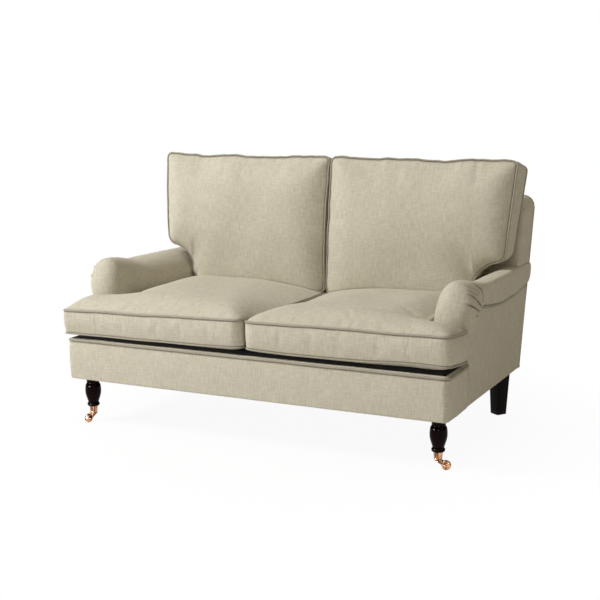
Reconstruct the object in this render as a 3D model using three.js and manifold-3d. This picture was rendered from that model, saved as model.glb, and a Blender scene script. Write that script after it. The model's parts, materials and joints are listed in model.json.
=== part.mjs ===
// An english roll arm sofa for two, in millimetres, with X to the right, Y to the back and Z up.
// It is laid out with Y = 0 at the face of the front border. The finished group is then moved so that
// its origin lies on the floor at the middle of the sofa's footprint.
import * as THREE from 'three';
import { mergeVertices } from 'three/addons/utils/BufferGeometryUtils.js';
import Module from 'manifold-3d';

const wasm = await Module();
wasm.setup();

// Clearances
const fit_gap = 0.3; // between pieces that touch
const cushion_gap = 2; // between a loose cushion and what stands beside it
const rest_gap = 2.5; // between a back cushion and the seat cushion under it
const cut_overrun = 4; // of a cutter past the piece it cuts

// Facets of the round pieces
const arc_segments = 8;
const rod_segments = 12;
const pin_segments = 16;
const leg_segments = 18;
const cup_segments = 20;
const wheel_segments = 24;

// Seat base
const base_width = 1460;
const leg_height = 175; // floor to the underside of the base
const border_height = 145;
const border_corner_radius = 20;
const side_foot_depth = 872; // front to back along the foot of a side
const skin_thickness = 12; // cloth over wadding, on the border, the sides and the back
const dust_cover_thickness = 1.5;
const platform_thickness = 21.4; // cloth deck over felt
const platform_rise = 8; // of the deck above the border
const rail_thickness = 25;
const centre_rail_drop = 12; // under the tops of the other rails
const corner_block_size = 90;
const corner_block_height = 32;

// Seat springs, flat waves of wire from the front rail to the back rail
const spring_count = 6;
const spring_wire = 4;
const spring_width = 48;
const spring_pitch = 58; // from rung to rung
const spring_arm_gap = 101; // of the outer springs beside the arms
const spring_bearing = 18; // of each end on its rail

// Back
const back_lean = THREE.MathUtils.degToRad(14.4);
const back_rise = 506; // of the back's top, at the rear, above the border
const back_top_drop = 20; // of the top edge, from the rear to the front
const back_thickness = 165;
const back_corner_radius = 50;
const post_width = 45;
const post_depth = 45;
const top_rail_height = 60;
const lower_rail_height = 60;
const lower_rail_lift = 12; // above the seat deck
const web_count = 4;
const web_width = 50;
const web_thickness = 2;
const web_spacing = 300;
const web_end_inset = 10; // of a web's end inside its rail

// Arms
const arm_front = 209; // behind the face of the border
const arm_thickness = 130; // from the face of the side to the inner face of the arm
const arm_inner_padding = 46;
const arm_top_padding = 40; // over the arm board
const arm_board_thickness = 25;
const stump_width = 65;
const stump_depth = 40;
const roll_overhang_front = 18; // of the roll past the side
const roll_overhang_rear = 8;
const roll_rise = 255; // of the roll's crest above the border
const roll_rise_front = 287;
const roll_crest_across = 90; // from the inner face to the highest line of the roll
const roll_top_power = 0.45; // of its curve outside that line: 1 rounds it evenly, as at the front
const roll_crest_run = 190; // over which the crest settles from its height and curve at the front
const roll_shoulder_rise = 145; // above the border, where the inner face starts to roll over
const roll_side_rise = 210; // of the roll's outermost line above the border
const roll_side_rise_front = 218;
const roll_seam_rise = 170; // above the border, where the roll meets the side
const roll_seam_rise_front = 104;
const pleat_run = 95; // over which the front of the roll gathers into its seam
const facing_swell = 58; // of the gathered front past the front end of the side
const facing_edge_inset = 34; // of its foremost face inside the outline of the arm
const facing_draw = 14; // of the inner face at the front, where it starts to roll over

// Seat cushions
const seat_overhang = 15; // in front of the border
const seat_seam_lift = 17; // of the lower piping above the seat deck
const seat_boxing = 96; // from piping to piping
const seat_crown = 42;
const seat_crown_reach = 300; // from the piping to the full crown
const seat_corner_radius = 26;
const seat_draw = 7; // of a side between its corners
const seat_ear_reach = 6; // of the ear past the side of the base
const arm_clearance = 4;

// Back cushions
const back_cushion_rise = 518; // of the upper edge above the seat's upper piping, halfway through the boxing
const back_cushion_top_rise = 26; // from the rear piping to the front piping
const back_front_depth = 684; // of the front piping's foot behind the border's face
const back_front_lean = 48; // of the front piping, from its foot to its top
const back_boxing_foot = 89; // from the front piping to the rear one, at their foot
const back_boxing_top = 128;
const back_crown = 42;
const back_rear_crown = 22;
const back_crown_reach = 260;
const back_corner_rounding = 30;
const back_draw = 7;
const back_foot_inset = 28; // of the outer edge inside the side of the base, at the foot's height
const back_flare = 35; // of the outer edge, from the foot to the top
const ear_neck_rise = 107; // of the ear's lower edge above the seat's upper piping, beside the neck
const ear_rise = 52; // of that edge over the roll of the arm
const ear_rise_run = 90;
const back_clearance = 0.6; // between the inside back and what leans on it

// Front legs, turned
const front_leg_side_inset = 53;
const front_leg_front_inset = 75;
const leg_top_radius = 25;
const leg_neck_radius = 19;
const leg_bulge_radius = 28.5;
const leg_ankle_radius = 18.3;
const leg_bead_radius = 23;
const leg_bead_half_height = 8;
const leg_top_land = 15;
const leg_vase_height = 66;
const spigot_radius = 10;

// Rear legs, square and tapered
const rear_leg_side_inset = 65;
const rear_leg_rear_inset = 44; // of its axis in front of the end of a side's foot
const rear_leg_top_side = 58;
const rear_leg_foot_side = 43;
const rear_leg_turn = THREE.MathUtils.degToRad(35);

// Leg bolts
const bolt_radius = 4;
const bolt_in_leg = 35;
const bolt_in_frame = 20;

// Casters
const wheel_radius = 16.5;
const wheel_edge_radius = 14.6;
const wheel_width = 16;
const wheel_hub_recess = 1.5;
const wheel_hub_radius = 6;
const caster_trail = 28; // of the wheel's axle beside the swivel pin
const caster_turn_left = THREE.MathUtils.degToRad(-98);
const caster_turn_right = 0;
const cup_top_height = 58;
const cup_foot_height = 34;
const cup_top_radius = 15.5;
const cup_foot_radius = 13.2;
const cup_floor = 4;
const pin_radius = 3;
const pin_head_radius = 5.5;
const pin_head_height = 3;
const pin_head_room = 1;
const horn_disc_radius = 8;
const horn_disc_height = 4;
const fork_thickness = 2.5;
const fork_eye_radius = 6;
const fork_eye_start = THREE.MathUtils.degToRad(225); // where the round of the eye starts
const fork_eye_end = THREE.MathUtils.degToRad(432);
const fork_side_gap = 0.6; // between the wheel and a fork arm
const axle_radius = 2.5;
const axle_head_radius = 4.5;
const axle_head_height = 1.2;

// Heights and places that follow from the sizes above
const half_width = base_width / 2;
const inner_half = half_width - skin_thickness - fit_gap;
const border_top = leg_height + border_height;
const back_top = border_top + back_rise;
const roll_top = border_top + roll_rise;
const roll_top_front = border_top + roll_rise_front;
const roll_shoulder_height = border_top + roll_shoulder_rise;
const roll_side_height = border_top + roll_side_rise;
const roll_side_height_front = border_top + roll_side_rise_front;
const roll_seam_height = border_top + roll_seam_rise;
const roll_seam_height_front = border_top + roll_seam_rise_front;
const platform_top = border_top + platform_rise;
const platform_bottom = platform_top - platform_thickness;
const spring_bottom = platform_bottom - fit_gap - spring_wire;
const rail_top = spring_bottom - fit_gap;
const timber_bottom = leg_height + dust_cover_thickness + fit_gap;
const front_timber_face = skin_thickness + fit_gap;
const front_rail_back = front_timber_face + rail_thickness;
const side_rail_inner = inner_half - rail_thickness;
const post_outer = side_rail_inner - fit_gap;
const post_inner = post_outer - post_width;
const post_rear = skin_thickness + fit_gap; // in front of the rear face
const post_front = post_rear + post_depth;
const top_rail_top = back_top - skin_thickness - fit_gap - (back_top_drop * post_front) / back_thickness;
const top_rail_bottom = top_rail_top - top_rail_height;
const lower_rail_bottom = platform_top + lower_rail_lift;
const web_front = post_front + fit_gap + web_thickness;
const arm_inner = half_width - arm_thickness;
const spring_spacing = (2 * (arm_inner - spring_arm_gap) - spring_width) / (spring_count - 1);
const arm_pad_front = arm_front + skin_thickness + fit_gap;
const arm_board_top = roll_top - arm_top_padding;
const arm_board_bottom = arm_board_top - arm_board_thickness;
const arm_cavity_inner = arm_inner + arm_inner_padding;
const arm_cavity_outer = half_width - skin_thickness;
const seat_seam_height = platform_top + seat_seam_lift;
const seat_top = seat_seam_height + seat_boxing;
const back_cushion_top = seat_top + back_cushion_rise;
const front_leg_x = half_width - front_leg_side_inset;
const rear_leg_x = half_width - rear_leg_side_inset;
const rear_leg_depth = side_foot_depth - rear_leg_rear_inset;
const back_foot_half = half_width - back_foot_inset;
const leg_top = leg_height - fit_gap;

// The sofa's rear face leans: its place behind the front border at a height above the floor
function rear_face(height) {
  return side_foot_depth + (height - leg_height) * Math.tan(back_lean);
}

const seat_rear = rear_face(seat_seam_height) - back_thickness - back_clearance;
const depth_middle = (rear_face(back_top) - seat_overhang) / 2;

const linen = new THREE.MeshStandardMaterial({ color: 0xb8b097, roughness: 0.95, metalness: 0 });
const lining = new THREE.MeshStandardMaterial({ color: 0x8f886f, roughness: 0.95, metalness: 0 });
const dust_cloth = new THREE.MeshStandardMaterial({ color: 0x23211f, roughness: 0.95, metalness: 0 });
const webbing = new THREE.MeshStandardMaterial({ color: 0x8d7a55, roughness: 0.9, metalness: 0 });
const beech = new THREE.MeshStandardMaterial({ color: 0xc8a878, roughness: 0.7, metalness: 0 });
const dark_wood = new THREE.MeshStandardMaterial({ color: 0x1b1210, roughness: 0.25, metalness: 0 });
const copper = new THREE.MeshStandardMaterial({ color: 0xb67c50, roughness: 0.25, metalness: 1 });
const steel = new THREE.MeshStandardMaterial({ color: 0x8b8d90, roughness: 0.4, metalness: 1 });

const sofa = new THREE.Group();
const layout = new THREE.Group();
layout.position.y = -depth_middle;
sofa.add(layout);

function add(name, geometry, material, parent = layout) {
  const mesh = new THREE.Mesh(geometry, material);
  mesh.name = name;
  parent.add(mesh);
  return mesh;
}

// Both sides of the sofa: the name's ending and the direction of X
const sides = [['left', -1], ['right', 1]];

// A shape with one vertex at each point, and its faces turned outwards
function weld(geometry) {
  const bare = geometry.clone();
  bare.deleteAttribute('normal');
  bare.deleteAttribute('uv');
  const welded = mergeVertices(bare);
  const index = welded.index.array;
  const [a, b, c] = [new THREE.Vector3(), new THREE.Vector3(), new THREE.Vector3()];
  let volume = 0;
  for (let i = 0; i < index.length; i += 3) {
    a.fromBufferAttribute(welded.attributes.position, index[i]);
    b.fromBufferAttribute(welded.attributes.position, index[i + 1]);
    c.fromBufferAttribute(welded.attributes.position, index[i + 2]);
    volume += a.dot(b.cross(c));
  }
  if (volume < 0) {
    for (let i = 0; i < index.length; i += 3) {
      [index[i], index[i + 1]] = [index[i + 1], index[i]];
    }
  }
  return welded;
}

function from_points(points, faces) {
  const geometry = new THREE.BufferGeometry();
  geometry.setAttribute('position', new THREE.Float32BufferAttribute(points.flat(), 3));
  geometry.setIndex(faces.flat());
  return weld(geometry);
}

// The mirror image of a shape across the middle of the sofa, for the left side
function on_side(geometry, direction) {
  return weld(geometry.clone().scale(direction, 1, 1));
}

function block([x0, x1], [y0, y1], [z0, z1]) {
  const box = new THREE.BoxGeometry(x1 - x0, y1 - y0, z1 - z0);
  return weld(box.translate((x0 + x1) / 2, (y0 + y1) / 2, (z0 + z1) / 2));
}

// An outline in plan, raised from z0 to z1
function raised(shape, z0, z1) {
  const settings = { depth: z1 - z0, bevelEnabled: false, curveSegments: arc_segments };
  const solid = new THREE.ExtrudeGeometry(shape, settings);
  return weld(solid.translate(0, 0, z0));
}

// An outline of (Y, Z) points carried from x0 to x1
function side_plate(points, x0, x1) {
  const ring = (x) => points.map(([y, z]) => [x, y, z]);
  return loft([ring(x0), ring(x1)], ([, y, z]) => new THREE.Vector2(y, z));
}

// An outline of (X, Z) points carried through the thickness of the back, from depth d0 to d1 in front
// of the rear face. Points from the foot of the top corners upwards drop towards the front.
function back_plate(points, d0, d1) {
  const shoulder = back_top - back_corner_radius;
  const ring = (depth) => points.map(([x, z]) => {
    const drop = z >= shoulder ? (back_top_drop * depth) / back_thickness : 0;
    return [x, -depth, z - drop];
  });
  return leaned(loft([ring(d0), ring(d1)], ([x, , z]) => new THREE.Vector2(x, z)));
}

// Like rings of points joined in order, with the first and last ring closed by a flat face
function loft(rings, flatten) {
  const size = rings[0].length;
  const faces = [];
  for (let r = 0; r + 1 < rings.length; r += 1) {
    for (let i = 0; i < size; i += 1) {
      const j = (i + 1) % size;
      const [a, b, c, d] = [r * size + i, r * size + j, (r + 1) * size + j, (r + 1) * size + i];
      faces.push([a, b, c], [a, c, d]);
    }
  }
  const outline = rings[0].map(flatten);
  const last = (rings.length - 1) * size;
  const turned = THREE.ShapeUtils.isClockWise(outline);
  for (const [a, b, c] of THREE.ShapeUtils.triangulateShape(outline, [])) {
    // the triangulation runs anticlockwise whichever way the outline runs
    const cap = turned ? [a, b, c] : [c, b, a];
    faces.push(cap, [...cap].reverse().map((i) => last + i));
  }
  return from_points(rings.flat(), faces);
}

// A shape laid out upright with Y = 0 at the rear face, sheared so that it leans with the back
function leaned(geometry) {
  const shape = geometry.clone();
  const position = shape.attributes.position;
  for (let i = 0; i < position.count; i += 1) {
    position.setY(i, position.getY(i) + rear_face(position.getZ(i)));
  }
  return shape;
}

// Cuts and joins closed shapes
function to_solid(geometry) {
  const welded = weld(geometry);
  const mesh = new wasm.Mesh({
    numProp: 3,
    vertProperties: new Float32Array(welded.attributes.position.array),
    triVerts: new Uint32Array(welded.index.array),
  });
  return new wasm.Manifold(mesh);
}

function from_solid(solid) {
  const mesh = solid.getMesh();
  const geometry = new THREE.BufferGeometry();
  geometry.setAttribute('position', new THREE.Float32BufferAttribute(mesh.vertProperties, 3));
  geometry.setIndex(Array.from(mesh.triVerts));
  return geometry;
}

function cut(geometry, ...cutters) {
  const whole = to_solid(geometry);
  return from_solid(cutters.map(to_solid).reduce((solid, cutter) => solid.subtract(cutter), whole));
}

function join(...geometries) {
  return from_solid(geometries.map(to_solid).reduce((solid, other) => solid.add(other)));
}

// An upright round bar
function bar(radius, z0, z1, x = 0, y = 0) {
  const cylinder = new THREE.CylinderGeometry(radius, radius, z1 - z0, rod_segments);
  return weld(cylinder.rotateX(Math.PI / 2).translate(x, y, (z0 + z1) / 2));
}

// A profile of (radius, height) points turned about an upright axis
function turned(profile, segments) {
  const points = profile.map(([radius, height]) => new THREE.Vector2(radius, height));
  return weld(new THREE.LatheGeometry(points, segments).rotateX(Math.PI / 2));
}

function ease(share) {
  const t = THREE.MathUtils.clamp(share, 0, 1);
  return t * t * (3 - 2 * t);
}

// Upholstered base: border, dust cover and seat deck

// The border's plan: a band round the front and both front corners, back to the arms
function border_shape() {
  const shape = new THREE.Shape();
  const inner_radius = border_corner_radius - skin_thickness;
  const corner_x = half_width - border_corner_radius;
  shape.moveTo(-half_width, arm_front);
  shape.lineTo(-half_width, border_corner_radius);
  shape.absarc(-corner_x, border_corner_radius, border_corner_radius, Math.PI, 1.5 * Math.PI, false);
  shape.absarc(corner_x, border_corner_radius, border_corner_radius, 1.5 * Math.PI, 2 * Math.PI, false);
  shape.lineTo(half_width, arm_front);
  shape.lineTo(half_width - skin_thickness, arm_front);
  shape.absarc(corner_x, border_corner_radius, inner_radius, 2 * Math.PI, 1.5 * Math.PI, true);
  shape.absarc(-corner_x, border_corner_radius, inner_radius, 1.5 * Math.PI, Math.PI, true);
  shape.lineTo(-half_width + skin_thickness, arm_front);
  return shape;
}

// A plan inside the border with the same round front corners, back to the arms and then narrower
function inside_border_shape(neck_half, rear) {
  const shape = new THREE.Shape();
  const radius = border_corner_radius - front_timber_face;
  const corner_x = half_width - border_corner_radius;
  const neck_front = arm_front - fit_gap;
  shape.moveTo(-neck_half, rear);
  if (neck_half < inner_half) {
    shape.lineTo(-neck_half, neck_front);
    shape.lineTo(-inner_half, neck_front);
  }
  shape.lineTo(-inner_half, border_corner_radius);
  shape.absarc(-corner_x, border_corner_radius, radius, Math.PI, 1.5 * Math.PI, false);
  shape.absarc(corner_x, border_corner_radius, radius, 1.5 * Math.PI, 2 * Math.PI, false);
  if (neck_half < inner_half) {
    shape.lineTo(inner_half, neck_front);
    shape.lineTo(neck_half, neck_front);
  }
  shape.lineTo(neck_half, rear);
  return shape;
}

const leg_places = [];
for (const [side, direction] of sides) {
  leg_places.push([`front_${side}`, direction * front_leg_x, front_leg_front_inset]);
  leg_places.push([`rear_${side}`, direction * rear_leg_x, rear_leg_depth]);
}

const bolt_hole_radius = bolt_radius + fit_gap;

// A cutter for the bolt hole of a leg, through what lies between two heights
function bolt_hole(x, y, z0, z1) {
  return bar(bolt_hole_radius, z0 - cut_overrun, z1, x, y);
}

add('front_border', raised(border_shape(), leg_height, border_top), linen);

const dust_shape = inside_border_shape(inner_half, rear_face(leg_height) - post_rear);
const dust_sheet = raised(dust_shape, leg_height, leg_height + dust_cover_thickness);
const dust_holes = leg_places.map(([, x, y]) => bolt_hole(x, y, leg_height, timber_bottom + cut_overrun));
add('dust_cover', cut(dust_sheet, ...dust_holes), dust_cloth);

const deck_rear = rear_face(platform_bottom) - post_rear;
const deck_shape = inside_border_shape(arm_inner - fit_gap, deck_rear);
add('seat_deck', raised(deck_shape, platform_bottom, platform_top), lining);

// Base frame of beech rails
const front_rail_half = side_rail_inner - fit_gap;
const rail_height_range = [timber_bottom, rail_top];
const front_rail_depth = [front_timber_face, front_rail_back];
add('front_rail', block([-front_rail_half, front_rail_half], front_rail_depth, rail_height_range), beech);

const back_rail_half = post_inner - fit_gap;
const back_timber_depth = [-post_front, -post_rear];
const back_rail = block([-back_rail_half, back_rail_half], back_timber_depth, rail_height_range);
add('back_rail', leaned(back_rail), beech);

for (const [side, direction] of sides) {
  const side_rail_front = border_corner_radius + fit_gap;
  const outline = [
    [side_rail_front, timber_bottom],
    [rear_face(timber_bottom) - post_rear, timber_bottom],
    [rear_face(rail_top) - post_rear, rail_top],
    [side_rail_front, rail_top],
  ];
  add(`side_rail_${side}`, on_side(side_plate(outline, side_rail_inner, inner_half), direction), beech);

  const block_outer = side_rail_inner - fit_gap;
  const block_front = front_rail_back + fit_gap;
  const block_across = [block_outer - corner_block_size, block_outer];
  const block_along = [block_front, block_front + corner_block_size];
  const block_top = timber_bottom + corner_block_height;
  const corner_block = block(block_across, block_along, [timber_bottom, block_top]);
  const hole = bolt_hole(front_leg_x, front_leg_front_inset, timber_bottom, block_top + cut_overrun);
  add(`corner_block_${side}`, on_side(cut(corner_block, hole), direction), beech);
}

const centre_rail_rear = rear_face(timber_bottom) - post_front - fit_gap;
const centre_rail_depth = [front_rail_back + fit_gap, centre_rail_rear];
const centre_rail_range = [timber_bottom, rail_top - centre_rail_drop];
const centre_rail_across = [-rail_thickness / 2, rail_thickness / 2];
add('centre_rail', block(centre_rail_across, centre_rail_depth, centre_rail_range), beech);

// Seat springs: a wire that runs in square waves, as one flat band
function spring_shape() {
  const first = front_rail_back - spring_bearing;
  const last = rear_face(rail_top) - post_front + spring_bearing;
  const rungs = Math.round((last - first) / spring_pitch);
  const path = [];
  for (let rung = 0; rung <= rungs; rung += 1) {
    const y = first + ((last - first) * rung) / rungs;
    const from = rung % 2 ? 1 : -1;
    path.push([(from * spring_width) / 2, y], [(-from * spring_width) / 2, y]);
  }
  const left = [];
  const right = [];
  path.forEach(([x, y], i) => {
    const before = path[Math.max(i - 1, 0)];
    const after = path[Math.min(i + 1, path.length - 1)];
    // every stretch runs along X or Y, so the sum of the two normals is the corner's mitre
    const normal_x = -(Math.sign(y - before[1]) + Math.sign(after[1] - y));
    const normal_y = Math.sign(x - before[0]) + Math.sign(after[0] - x);
    const reach = spring_wire / 2;
    left.push(new THREE.Vector2(x + normal_x * reach, y + normal_y * reach));
    right.unshift(new THREE.Vector2(x - normal_x * reach, y - normal_y * reach));
  });
  return new THREE.Shape([...left, ...right]);
}

const spring = raised(spring_shape(), spring_bottom, spring_bottom + spring_wire);
for (let i = 0; i < spring_count; i += 1) {
  const x = (i - (spring_count - 1) / 2) * spring_spacing;
  add(`seat_spring_${i + 1}`, spring, steel).position.x = x;
}

// Back: posts and rails, webs, padding, border and outside panel
for (const [side, direction] of sides) {
  const post_range = [timber_bottom, top_rail_bottom - fit_gap];
  const post = leaned(block([post_inner, post_outer], back_timber_depth, post_range));
  const hole_top = timber_bottom + bolt_in_frame + fit_gap;
  const hole = bolt_hole(rear_leg_x, rear_leg_depth, timber_bottom, hole_top);
  add(`back_post_${side}`, on_side(cut(post, hole), direction), beech);
}

const top_rail_half = half_width - back_corner_radius;
const top_rail = block([-top_rail_half, top_rail_half], back_timber_depth, [top_rail_bottom, top_rail_top]);
add('back_top_rail', leaned(top_rail), beech);
const lower_rail_range = [lower_rail_bottom, lower_rail_bottom + lower_rail_height];
const lower_rail = block([-back_rail_half, back_rail_half], back_timber_depth, lower_rail_range);
add('back_lower_rail', leaned(lower_rail), beech);

for (let i = 0; i < web_count; i += 1) {
  const middle = (i - (web_count - 1) / 2) * web_spacing;
  const across = [middle - web_width / 2, middle + web_width / 2];
  const upright = [lower_rail_bottom + web_end_inset, top_rail_top - web_end_inset];
  const web = block(across, [-web_front, -web_front + web_thickness], upright);
  add(`back_web_${i + 1}`, leaned(web), webbing);
}

// The arc of a top corner of the back, from the side to the top, as (X, Z) points on the right
function back_corner(inset) {
  const radius = back_corner_radius - inset;
  const corner_x = half_width - back_corner_radius;
  const corner_z = back_top - back_corner_radius;
  const steps = 6;
  return Array.from({ length: steps + 1 }, (_, i) => {
    const angle = (i / steps) * (Math.PI / 2);
    return [corner_x + radius * Math.cos(angle), corner_z + radius * Math.sin(angle)];
  });
}

function mirrored(points) {
  return points.map(([x, z]) => [-x, z]).reverse();
}

const arm_roll_clear = roll_top + fit_gap; // lowest height of what stands on the roll's crest
const border_right = [[half_width, arm_roll_clear], ...back_corner(0)];
const border_inside = [[half_width - skin_thickness, arm_roll_clear], ...back_corner(skin_thickness)];
const border_outline = [
  ...border_right, ...mirrored(border_right),
  ...mirrored(border_inside).reverse(), ...[...border_inside].reverse(),
];
add('back_border', back_plate(border_outline, 0, back_thickness), linen);

const inside_right = [
  [arm_inner - fit_gap, platform_top + fit_gap],
  [arm_inner - fit_gap, arm_roll_clear],
  [inner_half, arm_roll_clear],
  ...back_corner(skin_thickness + fit_gap),
];
const inside_outline = [...inside_right, ...mirrored(inside_right)];
add('inside_back', back_plate(inside_outline, web_front + fit_gap, back_thickness), linen);

const outside_right = [[inner_half, leg_height], ...back_corner(skin_thickness + fit_gap)];
add('outside_back', back_plate([...outside_right, ...mirrored(outside_right)], 0, skin_thickness), linen);

// Arms
const arm_rear_clear = rear_face(roll_top_front);

// How far the arm's front has gathered into the roll at a place behind its facing, from 0 to 1
function gather(y) {
  return ease((y - arm_pad_front) / pleat_run);
}

// The same for the crest, which settles more slowly
function settled(y) {
  return ease((y - arm_pad_front) / roll_crest_run);
}

function seam_height(y) {
  return THREE.MathUtils.lerp(roll_seam_height_front, roll_seam_height, gather(y));
}

// The arm's skin at a place y, from the foot of the inner face over the roll to its seam, as (X, Z)
// points: a straight inner face, a quarter ellipse up to the crest, a second one down to the outermost
// line, and a third one in to the seam. The power makes the second one flat on top with a tight outer edge.
function arm_skin(y) {
  const foot = rail_top + fit_gap;
  const top = THREE.MathUtils.lerp(roll_top_front, roll_top, settled(y));
  const side_height = THREE.MathUtils.lerp(roll_side_height_front, roll_side_height, gather(y));
  const seam = seam_height(y);
  const inner = THREE.MathUtils.lerp(arm_inner + facing_draw, arm_inner, gather(y));
  const crest_x = arm_inner + roll_crest_across;
  const power = THREE.MathUtils.lerp(1, roll_top_power, settled(y));
  const along = (y - arm_front) / (arm_rear_clear - arm_front);
  const overhang = THREE.MathUtils.lerp(roll_overhang_front, roll_overhang_rear, along);
  const points = [[arm_inner, foot]];
  const steps = 7;
  for (let i = 0; i <= steps; i += 1) {
    const angle = (i / steps) * (Math.PI / 2);
    const height = roll_shoulder_height + (top - roll_shoulder_height) * Math.sin(angle);
    points.push([crest_x - (crest_x - inner) * Math.cos(angle), height]);
  }
  for (let i = 1; i <= steps; i += 1) {
    const angle = (i / steps) * (Math.PI / 2);
    const x = crest_x + (half_width + overhang - crest_x) * Math.sin(angle) ** power;
    points.push([x, side_height + (top - side_height) * Math.cos(angle) ** power]);
  }
  for (let i = 1; i <= steps; i += 1) {
    const angle = (i / steps) * (Math.PI / 2);
    const height = side_height + (seam - side_height) * Math.sin(angle);
    points.push([half_width + overhang * Math.cos(angle), height]);
  }
  return points;
}

// Places along the gathered stretch and on to where the crest has settled
const gather_shares = [0, 0.35, 0.7, 1];
const settling_shares = [0.75, 1];
const gather_places = gather_shares.map((share) => arm_pad_front + share * pleat_run);
const settling_places = settling_shares.map((share) => arm_pad_front + share * roll_crest_run);

function arm_pad() {
  const rings = [...gather_places, ...settling_places, arm_rear_clear].map((y) => {
    const outline = [
      ...arm_skin(y),
      [arm_cavity_outer, seam_height(y)],
      [arm_cavity_outer, arm_board_top + fit_gap],
      [arm_cavity_inner, arm_board_top + fit_gap],
      [arm_cavity_inner, rail_top + fit_gap],
    ];
    return outline.map(([x, z]) => [x, y, z]);
  });
  // the last ring follows the leaning rear face
  rings[rings.length - 1] = rings[rings.length - 1].map(([x, , z]) => [x, rear_face(z), z]);
  const whole = loft(rings, ([x, , z]) => new THREE.Vector2(x, z));
  const tall = [rail_top - cut_overrun, roll_top_front + cut_overrun];
  const across = [arm_inner - cut_overrun, arm_cavity_outer];
  const back_room = leaned(block(across, [-post_rear, cut_overrun], tall));
  const rail_room_depth = [-web_front - fit_gap, cut_overrun];
  const rail_room_range = [rail_top - cut_overrun, arm_board_top + fit_gap];
  const rail_room = leaned(block(across, rail_room_depth, rail_room_range));
  const post_room_depth = [-post_front - fit_gap, -post_rear + fit_gap];
  const post_room = leaned(block([post_inner - fit_gap, post_outer + fit_gap], post_room_depth, tall));
  return cut(whole, back_room, rail_room, post_room);
}

// A plate that closes the arm, and in front of it, above the seat deck, the swell of the gathered cover:
// rings that grow from the foremost face to the outline of the arm as a quarter ellipse
function arm_facing() {
  const skin = arm_skin(arm_front);
  const flat = ([x, , z]) => new THREE.Vector2(x, z);
  const plate_outline = [
    ...skin,
    [arm_cavity_outer, roll_seam_height_front],
    [arm_cavity_outer, rail_top + fit_gap],
  ];
  const plate_ring = (y) => plate_outline.map(([x, z]) => [x, y, z]);
  const plate = loft([plate_ring(arm_front), plate_ring(arm_front + skin_thickness)], flat);

  const swell_foot = platform_top + fit_gap;
  const swell_outline = [[arm_inner, swell_foot], ...skin.slice(1), [half_width, swell_foot]];
  const middle_x = (arm_inner + facing_draw + half_width + roll_overhang_front) / 2;
  const edge_steps = 4;
  const rings = Array.from({ length: edge_steps + 1 }, (_, i) => {
    const angle = (i / edge_steps) * (Math.PI / 2);
    const inset = facing_edge_inset * (1 - Math.sin(angle));
    return swell_outline.map(([x, z]) => {
      const away = Math.hypot(x - middle_x, z - roll_shoulder_height);
      const keep = 1 - inset / away;
      const height = roll_shoulder_height + (z - roll_shoulder_height) * keep;
      return [middle_x + (x - middle_x) * keep, arm_front - facing_swell * Math.cos(angle), height];
    });
  });
  return join(plate, loft(rings, flat));
}

// The outside panel: its upper edge follows the seam under the roll
function outside_arm() {
  const front = arm_front + fit_gap;
  const outline = [
    [front, leg_height],
    [rear_face(leg_height), leg_height],
    [rear_face(roll_seam_height - fit_gap), roll_seam_height - fit_gap],
    ...[front, ...gather_places].map((y) => [y, seam_height(y) - fit_gap]).reverse(),
  ];
  return side_plate(outline, half_width - skin_thickness + fit_gap, half_width);
}

for (const [side, direction] of sides) {
  add(`arm_pad_${side}`, on_side(arm_pad(), direction), linen);
  add(`arm_facing_${side}`, on_side(arm_facing(), direction), linen);
  add(`outside_arm_${side}`, on_side(outside_arm(), direction), linen);

  const stump_inner = arm_cavity_inner + fit_gap;
  const stump_across = [stump_inner, stump_inner + stump_width];
  const stump_along = [arm_pad_front, arm_pad_front + stump_depth];
  const stump = block(stump_across, stump_along, [rail_top + fit_gap, arm_board_bottom - fit_gap]);
  add(`arm_stump_${side}`, on_side(stump, direction), beech);

  const board_rear = rear_face(arm_board_bottom) - post_front - fit_gap;
  const board_across = [arm_cavity_inner + fit_gap, arm_cavity_outer - fit_gap];
  const board = block(board_across, [arm_pad_front, board_rear], [arm_board_bottom, arm_board_top]);
  add(`arm_board_${side}`, on_side(board, direction), beech);
}

// Cushions: boxed covers with one ear
const round_shares = [0, 0.3, 0.65, 1]; // grid lines across a corner's radius

// Grid lines from one edge to the other, close together where the corners are rounded
function grid_lines(start, end, radius, count) {
  const lines = round_shares.map((share) => start + share * radius);
  for (let i = 1; i < count; i += 1) {
    lines.push(start + radius + ((end - start - 2 * radius) * i) / count);
  }
  return [...lines, ...round_end(end, radius)];
}

function round_end(end, radius) {
  return round_shares.map((share) => end - share * radius).reverse();
}

// Distance from a place to the nearest edge of an outline of (u, v) points
function edge_distance(u, v, outline) {
  return Math.min(...outline.map(([u0, v0], i) => {
    const [u1, v1] = outline[(i + 1) % outline.length];
    const length = Math.hypot(u1 - u0, v1 - v0);
    const along = THREE.MathUtils.clamp(((u - u0) * (u1 - u0) + (v - v0) * (v1 - v0)) / length ** 2, 0, 1);
    return Math.hypot(u - u0 - along * (u1 - u0), v - v0 - along * (v1 - v0));
  }));
}

// How far a cover has risen to its crown: quickly at the piping and level at the end of its reach
function rise(distance, reach) {
  return 1 - (1 - Math.min(distance / reach, 1)) ** 3;
}

// A place near a convex corner moved onto its round: the square beside the corner becomes a quarter disc
function rounded([u, v], corners, radius) {
  for (const [corner_u, corner_v, inward_u, inward_v] of corners) {
    const du = radius - (u - corner_u) * inward_u;
    const dv = radius - (v - corner_v) * inward_v;
    if (du > 0 && dv > 0 && du <= radius && dv <= radius) {
      const scale = Math.max(du, dv) / Math.hypot(du, dv);
      return [corner_u + (radius - du * scale) * inward_u, corner_v + (radius - dv * scale) * inward_v];
    }
  }
  return [u, v];
}

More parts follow.
